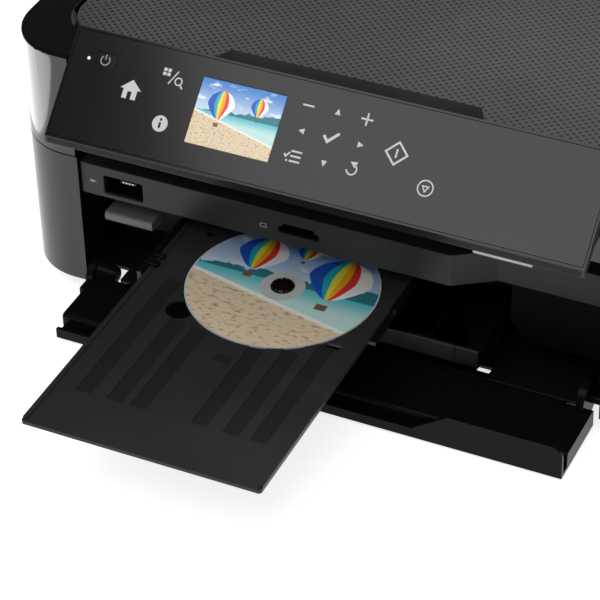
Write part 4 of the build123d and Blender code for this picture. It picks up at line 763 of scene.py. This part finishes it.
# ---- sub-assemblies
@dataclass
class CarriedParts:
    """The parts that keep their CAD shape: each gets its finish, and rounded edges where they show."""

    finishes: dict[Kind, str] = field(default_factory=lambda: {
        Kind.SIDE_GLOSS: "left_side_cover right_side_cover",
        Kind.GLOSS_BLACK: "scanner_frame",
        Kind.PANEL_GLOSS: "panel_front power_button",
        Kind.SCREEN: "display",
        Kind.MATTE_BLACK: "rear_cover ink_cartridges paper_support",
        Kind.LID: "document_lid",
        Kind.PAD: "lid_pad",
        Kind.GLASS: "scanner_glass scan_sensor",
        Kind.BEZEL: "front_bezel",
        Kind.COVER_BLACK: "front_cover",
        # painted shade: the right inner wall takes a darker, duller copy of the inner black, for the shade
        # that falls on it
        Kind.SHADE: "right_inner_wall",
        Kind.LEVER_GREY: "position_lever release_lever edge_guide",
        Kind.TRAY_BLACK: "disc_tray",
        Kind.CLEAR: "disc",
        Kind.BASE: "base_pan",
        Kind.INNER_BLACK: (
            "card_socket front_usb_socket lever_housing disc_guide disc_hub stacker panel_back"
            " transport_frame platen star_wheel_beam carriage maintenance_station power_supply power_inlet"
            " rear_feeder scanner_pan scan_carriage lid_hinges"
        ),
        Kind.SHEET: "left_frame right_frame feed_motor print_head chassis_beam carriage_motor unit_hinges",
        Kind.STEEL: "carriage_rail star_wheels scan_rail",
        Kind.ROLLER: "feed_roller exit_roller",
        Kind.RUBBER: "feet timing_belt pickup_roller",
        Kind.ACETAL: "idler_gear idler_pulley",
        Kind.BRASS: "motor_pinion",
        Kind.FELT: "waste_ink_box",
        Kind.BOARD: "main_board",
    })
    roundings: dict[float, str] = field(default_factory=lambda: {
        0.2: "disc_tray",
        0.3: "power_button",
        0.4: "disc_guide scanner_frame release_lever paper_support base_pan carriage document_lid",
        0.5: "left_side_cover right_side_cover rear_cover panel_back stacker",
        0.6: "right_inner_wall lever_housing position_lever",
        0.7: "front_cover",
        0.8: "front_bezel ink_cartridges",
        1.1: "panel_front",
    })
    kept_faces: tuple[str, ...] = ("disc_tray",)

    def shape(self, node: bpy.types.Object, name: str, width: float) -> None:
        """Welds a part's loose triangles, clears its flat faces, and rounds or splits its sharp edges.

        Args:
            node: the part.
            name: its name.
            width: the rounding's width, or 0 for none.
        """
        node.modifiers.new("weld", "WELD").merge_threshold = WELD
        if name not in self.kept_faces:
            clear = node.modifiers.new("flat_faces", "DECIMATE")
            clear.decimate_type = "DISSOLVE"
            clear.angle_limit = math.radians(0.4)
        if width > 0:
            rounded_edges(node, width)
        else:
            node.modifiers.new("sharp_edges", "EDGE_SPLIT").split_angle = SHARP_ANGLE

    def build(self) -> None:
        """Dresses every node that came with the frame."""
        widths = {name: width for width, names in self.roundings.items() for name in names.split()}
        for kind, names in self.finishes.items():
            for name in names.split():
                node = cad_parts[name]
                node.data.materials.clear()
                node.data.materials.append(material_of(kind))
                self.shape(node, name, widths.get(name, 0.0))
                smooth_by_angle(node)
                LOG.info("dressed %s in %s", name, kind.value.name)


@dataclass
class ControlPanel:
    """The tilting panel's print: key symbols, the power key's symbol and the lamp."""

    body: str = "control_panel"
    print_height: float = 0.12
    line: float = 1.1

    def printed(self, points: Outline, *holes: Outline) -> Mesh:
        """A printed shape at the origin."""
        return plate(points, self.print_height, *holes)

    def ring(self, radius: float, width: float) -> Mesh:
        """A printed ring."""
        return self.printed(circle(radius + width / 2), circle(radius - width / 2))

    def stroke(self, start: Point, end: Point, width: float | None = None) -> Mesh:
        """A printed straight line."""
        return self.printed(bar(start, end, width or self.line))

    def triangle(self, size: float, turn: float) -> Mesh:
        """A printed arrowhead that points along turn, in degrees."""
        angles = [math.radians(turn + step) for step in (0, 128, 232)]
        return self.printed([(size * math.cos(a), size * math.sin(a)) for a in angles])

    def home(self) -> Mesh:
        """A house with a door."""
        return self.printed([
            (-4.6, -5.6), (-1.5, -5.6), (-1.5, -1.0), (1.2, -1.0), (1.2, -5.6), (4.6, -5.6),
            (4.6, 0.4), (7.0, 0.4), (0.0, 6.4), (-7.0, 0.4), (-4.6, 0.4),
        ])

    def magnifier(self) -> Mesh:
        """Four small pictures, a stroke and a magnifying glass.

        Returns:
            The symbol.
        """
        tile = rounded_rectangle(1.1, 1.0, 0.1, 2)
        return joined([
            *(moved(self.printed(tile), x, y) for x in (-6.6, -3.8) for y in (1.4, 4.0)),
            self.stroke((-2.6, -4.2), (2.0, 4.4), 0.8),
            moved(self.ring(2.2, 0.8), 3.6, -1.6),
            self.stroke((5.0, -3.2), (7.0, -5.6), 1.0),
        ])

    def information(self) -> Mesh:
        """A disc with a bar and a dot left open in it."""
        slot = [(x, y - 1.0) for x, y in rounded_rectangle(0.75, 1.9, 0.6, 4)]
        return self.printed(circle(5.0), slot, circle(0.85, (0.0, 2.5), 20))

    def check_mark(self) -> Mesh:
        """A tick, for the key that confirms."""
        return self.printed([(-5.0, 0.2), (-3.8, 1.4), (-1.4, -1.2), (4.2, 4.2), (5.4, 3.0), (-1.4, -3.8)])

    def list_symbol(self) -> Mesh:
        """Three lines with a tick and a dash before them.

        Returns:
            The symbol.
        """
        tick = [(-5.6, 0.2), (-4.8, 1.0), (-3.9, 0.0), (-2.2, 2.4), (-1.4, 1.8), (-3.9, -1.6)]
        lines = [self.stroke((-1.2, y), (5.6, y)) for y in (3.0, 0.0, -3.0)]
        return joined([*lines, self.printed(tick), self.stroke((-3.4, -3.0), (-2.2, -3.0))])

    def back_arrow(self) -> Mesh:
        """An arrow that turns back."""
        return joined([self.printed(arc_band(3.1, 0.95, -170, 70)), moved(self.triangle(2.6, 160), 0.6, 3.5)])

    def start_diamond(self) -> Mesh:
        """A diamond with a bar in it, for the key that starts."""
        outer, inner = ([(0.0, a), (-a, 0.0), (0.0, -a), (a, 0.0)] for a in (7.6, 5.9))
        return joined([self.printed(outer, inner), self.stroke((0.0, -2.7), (0.0, 2.7))])

    def stop_symbol(self) -> Mesh:
        """A ring round an open triangle that points down."""
        outer, inner = (circle(radius, steps=3, start=-90) for radius in (2.9, 1.45))
        return joined([self.ring(4.6, 0.8), self.printed(outer, inner)])

    def power_symbol(self) -> Mesh:
        """A broken ring with a bar in the gap."""
        return joined([self.printed(arc_band(2.9, 0.7, 128, 412)), self.stroke((0.0, 0.4), (0.0, 3.7), 0.7)])

    def build(self) -> None:
        """Puts every symbol in its place."""
        plus = joined([self.stroke((-3.8, 0.0), (3.8, 0.0)), self.stroke((0.0, -3.8), (0.0, 3.8))])
        symbols = {
            "key_home": (self.home(), (-127.0, -15.4)),
            "key_view": (self.magnifier(), (-102.1, -2.2)),
            "key_information": (self.information(), (-102.1, -30.8)),
            "key_minus": (self.stroke((-3.6, 0.0), (3.6, 0.0)), (-14.3, 0.5)),
            "key_up": (self.triangle(2.3, 90), (4.5, 0.5)),
            "key_left": (self.triangle(2.3, 180), (-13.8, -15.0)),
            "key_confirm": (self.check_mark(), (4.5, -15.1)),
            "key_right": (self.triangle(2.3, 0), (23.2, -15.0)),
            "key_list": (self.list_symbol(), (-15.2, -30.8)),
            "key_down": (self.triangle(2.3, 270), (4.9, -30.3)),
            "key_back": (self.back_arrow(), (22.6, -30.1)),
            "key_start": (self.start_diamond(), (46.3, -14.8)),
            "key_stop": (self.stop_symbol(), (69.0, -30.5)),
            "key_plus": (plus, (23.1, 0.5)),
        }
        for name, (mesh, middle) in symbols.items():
            make_piece(name, on_panel(mesh, middle), Kind.INK, self.body)
        make_piece("power_symbol", on_panel(self.power_symbol(), (-148.7, -1.5)), Kind.DIM_INK, "power_key")
        lamp = self.printed(circle(1.0, steps=24))
        make_piece("power_lamp", on_panel(lamp, (-159.7, -2.3)), Kind.LAMP, self.body)


@dataclass
class PanelTrim:
    """The seam and the lip band round the panel's face, and a pale bar under the lip that paints the
    highlight on the release lever's lower edge.
    """

    body: str = "control_panel"
    seam_sizes: tuple[Sizes, ...] = ((171.6, 33.85, 1.5), (171.2, 33.45, 1.2))
    seam_middle: Point = (0.0, -19.15)
    seam_height: float = 0.06
    lip_size: Sizes = (171.4, 1.9, 1.52)
    lip_middle: Sizes = (0.0, -133.3, 143.5)
    lip_depth: float = 0.1
    highlight_size: Sizes = (17.9, 0.95, 0.57)
    highlight_middle: Point = (123.5, -57.95)
    highlight_height: float = 3.8
    highlight_thickness: float = 2.6
    highlight_rounding: float = 0.4

    def seam(self) -> Mesh:
        """A fine dark ring just inside the face's edges."""
        outer, inner = (rounded_rectangle(*size) for size in self.seam_sizes)
        return on_panel(plate(outer, self.seam_height, inner), self.seam_middle)

    def lip_band(self) -> Mesh:
        """The band on the upright front edge."""
        return stood_up(pad(self.lip_size, self.lip_depth), *self.lip_middle)

    def highlight_bar(self) -> Mesh:
        """A pale bar along the lever's lower edge: a painted highlight where that edge catches the light."""
        return on_panel(pad(self.highlight_size, self.highlight_thickness), self.highlight_middle, self.highlight_height)

    def build(self) -> None:
        """Puts the trim on the panel and the painted highlight bar on its lever."""
        make_piece("panel_seam", self.seam(), Kind.SHADE, self.body)
        make_piece("panel_lip_band", self.lip_band(), Kind.RIM, self.body)
        # painted highlight: a pale bar where the release lever's lower edge catches the light
        highlight_bar = make_piece("release_edge_highlight", self.highlight_bar(), Kind.LEVER_HIGHLIGHT, "release_bar")
        rounded_edges(highlight_bar, self.highlight_rounding)


@dataclass
class TrayDetails:
    """The darker floors of the tray's grooves, and the painted shade in its finger notch and in its small
    slot.
    """

    body: str = "tray"
    recess_radius: float = 61.3
    groove_front: float = -153.0
    groove_half: float = 5.0
    groove_play: float = 0.3
    groove_corner: float = 0.6
    grooves: tuple[Point, ...] = (
        (-88.8, -35.6), (-68.5, -70.6), (-53.0, -50.0), (-13.8, -50.0), (6.5, -50.0), (23.8, -50.0),
    )
    groove_floor: float = 61.5
    film: float = 0.04
    notch: Sizes = (-73.0, TRAY_ZERO - 61.0, 60.7)
    notch_radius: float = 8.7
    # the painted shade of the tray's small slot: its middle and its size
    slot_shade: Sizes = (-28.0, TRAY_ZERO - 94.0, 62.0)
    slot_shade_size: Sizes = (5.5, 3.4, 1.6)

    def groove_floors(self) -> Mesh:
        """A thin darker film on the floor of every groove, up to the disc's recess.

        Returns:
            The films as one mesh.
        """
        films = []
        start = TRAY_ZERO + self.groove_front + self.groove_play
        for x, end in self.grooves:
            nearest = max(0.0, abs(x - DISC_MIDDLE[0]) - self.groove_half)
            reach = math.sqrt(max(0.0, self.recess_radius**2 - nearest**2))
            stop = min(TRAY_ZERO + end, DISC_MIDDLE[1] - reach)
            film = pad((self.groove_half, (stop - start) / 2, self.groove_corner), self.film)
            films.append(moved(film, x, (start + stop) / 2, self.groove_floor))
        return joined(films)

    def build(self) -> None:
        """Lays every film on the tray."""
        make_piece("groove_floors", self.groove_floors(), Kind.TRAY_GROOVE, self.body)
        # painted shade: a black film on the notch's floor stands for the dark inside the deep finger notch
        notch = moved(plate(circle(self.notch_radius), self.film), *self.notch)
        make_piece("notch_painted_shade", notch, Kind.SHADE, self.body)
        # painted shade: a darker film stands for the dark inside the tray's small slot
        slot_shade = moved(pad(self.slot_shade_size, self.film), *self.slot_shade)
        make_piece("tray_slot_shade", slot_shade, Kind.TRAY_GROOVE, self.body)


@dataclass
class FrontDetails:
    """Small things on the bezel: card contacts, socket contacts and two plain pictograms."""

    body: str = "base"
    face_y: float = -95.1
    tongue_y: float = -88.3
    film: float = 0.08
    contact_height: float = 1.1
    contact_depth: float = 0.4

    def contacts(self, middle: Point, count: int, pitch: float) -> Mesh:
        """A row of small upright contacts.

        Args:
            middle: the row's middle, across and up.
            count: how many contacts it has.
            pitch: their spacing.

        Returns:
            The row.
        """
        row = []
        for index in range(count):
            pin = plate(rounded_rectangle(pitch * 0.32, self.contact_height / 2, 0.15, 3), self.contact_depth)
            row.append(stood_up(pin, middle[0] + (index - (count - 1) / 2) * pitch, self.tongue_y, middle[1]))
        return joined(row)

    def card_mark(self) -> Mesh:
        """A small card with a cut corner, drawn as an outline."""
        outer = [(-2.2, -1.5), (2.2, -1.5), (2.2, 1.5), (-1.2, 1.5), (-2.2, 0.5)]
        return plate(outer, self.film, [(x * 0.78, y * 0.72) for x, y in outer])

    def plug_mark(self) -> Mesh:
        """A small plug with two prongs."""
        half = [(0.6, 0.3), (2.0, 0.3), (2.0, 0.6), (0.6, 0.6), (0.6, 0.9), (-2.4, 0.9)]
        return plate([(x, -y) for x, y in reversed(half)] + half, self.film)

    def build(self) -> None:
        """Puts the details on the bezel."""
        for name, mesh, kind in (
            ("card_contacts", self.contacts((-23.5, 90.4), 9, 2.1), Kind.DIM_INK),
            ("usb_contacts", self.contacts((-143.6, 89.3), 4, 2.2), Kind.CONTACT),
            ("card_mark", stood_up(self.card_mark(), -47.0, self.face_y, 89.6), Kind.DIM_INK),
            ("usb_mark", stood_up(self.plug_mark(), -164.5, self.face_y, 90.0), Kind.DIM_INK),
        ):
            make_piece(name, mesh, kind, self.body)


@dataclass
class HingeGapShade:
    """A dark strip under the front cover's hinge line, fixed below the base pan's front tongue: painted shade
    that stands for the dark seen through the hinge gap.
    """

    size: Sizes = (150.0, 4.7, 1.0)
    thickness: float = 1.4
    place: Sizes = (0.0, -88.7, 6.6)
    rounding: float = 0.3

    def build(self) -> None:
        """Puts the strip on the base."""
        # painted shade: the dark strip hides the glowing floor under the hinge gap and stands for the dark
        # there
        strip = moved(pad(self.size, self.thickness), *self.place)
        rounded_edges(make_piece("hinge_gap_shade", strip, Kind.BASE, "base"), self.rounding)


@dataclass
class InnerDetails:
    """What shows when the scanner unit is lifted: cartridge labels, and the main board's own parts."""

    labels: tuple[Kind, ...] = (
        Kind.INK, Kind.CYAN, Kind.LIGHT_CYAN, Kind.MAGENTA, Kind.LIGHT_MAGENTA, Kind.YELLOW,
    )
    cartridge_width: float = 18.7
    label_size: Sizes = (6.8, 15.0, 1.5)
    board_corner: Vector = field(default_factory=lambda: Vector((60.0, 132.5, 17.0)))
    chips: tuple[Sizes, ...] = (
        (30, 25, 24, 24, 3.0), (70, 30, 16, 16, 2.4), (100, 70, 12, 20, 9.0), (25, 90, 30, 6, 8.0),
    )
    cap_inset: float = 0.2
    cap_corner: float = 0.6
    pin_size: Sizes = (0.35, 0.65, 0.15)
    pin_pitch: float = 1.6
    pin_reach: float = 0.7
    capacitors: tuple[Point, ...] = ((66.0, 12.0), (78.0, 12.0), (90.0, 12.0), (112.0, 40.0), (20.0, 112.0))
    capacitor: tuple[Point, ...] = (
        (0.0, 0.0), (3.0, 0.0), (3.2, 0.3), (3.2, 1.1), (2.9, 1.5),
        (3.2, 1.9), (3.2, 7.4), (2.9, 7.8), (2.2, 7.6), (0.0, 7.6),
    )

    def on_board(self, size: Sizes, x: float, y: float, z: float = 0.0) -> Mesh:
        """A small pad at a place on the main board."""
        return moved(pad(size, 0.3), *(self.board_corner + Vector((x, y, z))))

    def chip_caps(self) -> Mesh:
        """The black cases over the board's chips.

        Returns:
            The cases as one mesh.
        """
        caps = []
        for x, y, width, depth, height in self.chips:
            size = (width / 2 - self.cap_inset, depth / 2 - self.cap_inset, self.cap_corner)
            caps.append(self.on_board(size, x + width / 2, y + depth / 2, height))
        return joined(caps)

    def chip_pins(self) -> Mesh:
        """Rows of pins on two sides of the two flat chips.

        Returns:
            The pins as one mesh.
        """
        pins = []
        for x, y, width, depth, _ in self.chips[:2]:
            count = int(width / self.pin_pitch)
            across = [x + width * (index + 0.5) / count for index in range(count)]
            for edge in (y - self.pin_reach, y + depth + self.pin_reach):
                pins += [self.on_board(self.pin_size, middle, edge) for middle in across]
        return joined(pins)

    def build(self) -> None:
        """Labels the cartridges and fits out the board."""
        low, high = (Vector(corner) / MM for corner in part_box("ink_cartridges"))
        pitch = (high.x - low.x - self.cartridge_width) / (len(self.labels) - 1)
        for index, kind in enumerate(self.labels):
            middle_x = low.x + self.cartridge_width / 2 + index * pitch
            label = moved(pad(self.label_size, 0.1), middle_x, (low.y + high.y) / 2, high.z)
            make_piece(f"ink_label_{index + 1}", label, kind, "ink_carriage")
        make_piece("board_chip_caps", self.chip_caps(), Kind.INNER_BLACK, "base")
        make_piece("board_chip_pins", self.chip_pins(), Kind.STEEL, "base")
        places = [self.board_corner + Vector((x, y, 0.0)) for x, y in self.capacitors]
        cans = joined([turned(self.capacitor, place) for place in places])
        make_piece("board_capacitors", cans, Kind.SHEET, "base")


@dataclass
class PrintedDisc:
    """The disc's printed face, over the clear disc."""

    outer: float = 59.0
    inner: float = 14.0
    film: float = 0.06
    steps: int = 128

    def build(self) -> None:
        """Lays the printed film on the disc."""
        film = plate(circle(self.outer, steps=self.steps), self.film, circle(self.inner, steps=self.steps))
        film = moved(film, *DISC_MIDDLE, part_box("disc")[1].z / MM)
        make_piece("disc_print_film", film, Kind.DISC_PRINT, "printed_disc")


@dataclass
class Studio:
    """Camera, lights, floor and backdrop, in metres."""

    focal_pixels: float = 2689.98
    image: float = 600.0
    sensor: float = 36.0
    yaw: float = math.radians(-26.29)
    pitch: float = math.radians(37.56)
    roll: float = math.radians(-1.82)
    eye: Vector = field(default_factory=lambda: Vector((0.5597, -1.2757, 1.0516)))
    clip: Point = (0.05, 30.0)
    reflected_surround: float = 0.05
    plain_surround: float = 0.45
    floor_half: float = 4.0
    floor_glow: float = 0.75

    def camera(self) -> None:
        """Stands the camera where the photograph was taken from."""
        data = bpy.data.cameras.new("camera")
        data.sensor_width = self.sensor
        data.lens = self.focal_pixels / self.image * self.sensor
        data.clip_start, data.clip_end = self.clip
        place = Matrix.Translation(self.eye)
        for angle, axis in ((-self.yaw, "Z"), (math.pi / 2 - self.pitch, "X"), (self.roll, "Z")):
            place @= Matrix.Rotation(angle, 4, axis)
        made = in_scene("camera", data)
        made.matrix_world = place
        bpy.context.scene.camera = made

    def softbox(
        self, name: str, low: Point, high: Point, height: float, radiance: float, faces_up: bool = False,
    ) -> None:
        """Hangs one level rectangular lamp that faces down, or lays one on the floor that faces up.

        Args:
            name: the lamp's name.
            low: the corner with the least x and y.
            high: the corner with the greatest x and y.
            height: how high it is.
            radiance: its brightness, where 1 is seen as white.
            faces_up: whether it faces up, and is seen in reflections alone.
        """
        data = bpy.data.lights.new(name, "AREA")
        data.shape = "RECTANGLE"
        data.size = high[0] - low[0]
        data.size_y = high[1] - low[1]
        data.energy = radiance * math.pi * data.size * data.size_y
        made = in_scene(name, data)
        made.location = ((low[0] + high[0]) / 2, (low[1] + high[1]) / 2, height)
        if faces_up:
            made.rotation_euler.x = math.pi
            made.visible_camera = False

    def world(self) -> None:
        """A white surround for the camera, a dark one for reflections and a soft one for plain light."""
        world = bpy.data.worlds.new("surround")
        bpy.context.scene.world = world
        world.use_nodes = True
        wires = Wiring(world.node_tree)
        seen = wires.node("ShaderNodeLightPath").outputs
        direct = wires.maths("MAXIMUM", seen["Is Camera Ray"], seen["Is Transmission Ray"])
        shine = wires.maths("MULTIPLY", seen["Is Glossy Ray"], self.reflected_surround - self.plain_surround)
        strength = wires.maths("MAXIMUM", direct, wires.maths("ADD", shine, self.plain_surround))
        background = world.node_tree.nodes["Background"]
        wires.filled(background, {"Color": grey(1.0), "Strength": strength})

    def floor(self) -> None:
        """A pale floor that runs to the backdrop."""
        mesh = bmesh.new()
        bmesh.ops.create_grid(mesh, x_segments=1, y_segments=1, size=self.floor_half)
        material, wires = new_material("floor_white")
        seen = wires.node("ShaderNodeLightPath").outputs
        direct = wires.maths("MAXIMUM", seen["Is Camera Ray"], seen["Is Glossy Ray"])
        wires.surfaced({
            "Base Color": grey(0.86),
            "Roughness": 0.9,
            "Specular IOR Level": 0.0,
            "Emission Color": grey(1.0),
            "Emission Strength": wires.maths("MULTIPLY", direct, self.floor_glow),
        })
        data = data_of("floor", mesh)
        data.materials.append(material)
        made = in_scene("floor", data)

    def build(self) -> None:
        """Sets the whole studio up."""
        bpy.context.scene.view_settings.view_transform = "Standard"
        self.camera()
        self.world()
        self.floor()
        self.softbox("panel_light", (-0.70, -1.45), (0.55, -0.45), 1.3, 1.9)
        self.softbox("back_light", (-0.70, 0.95), (1.10, 1.75), 1.2, 1.5)
        self.softbox("edge_light", (-0.62, -0.28), (-0.345, 0.30), 0.02, 2.8, faces_up=True)


def main() -> None:
    """Builds the studio, then each sub-assembly in order."""
    for part in (
        Studio(), CarriedParts(), ControlPanel(), PanelTrim(), TrayDetails(), FrontDetails(), HingeGapShade(),
        InnerDetails(), PrintedDisc(),
    ):
        part.build()


if __name__ == "__main__":
    main()
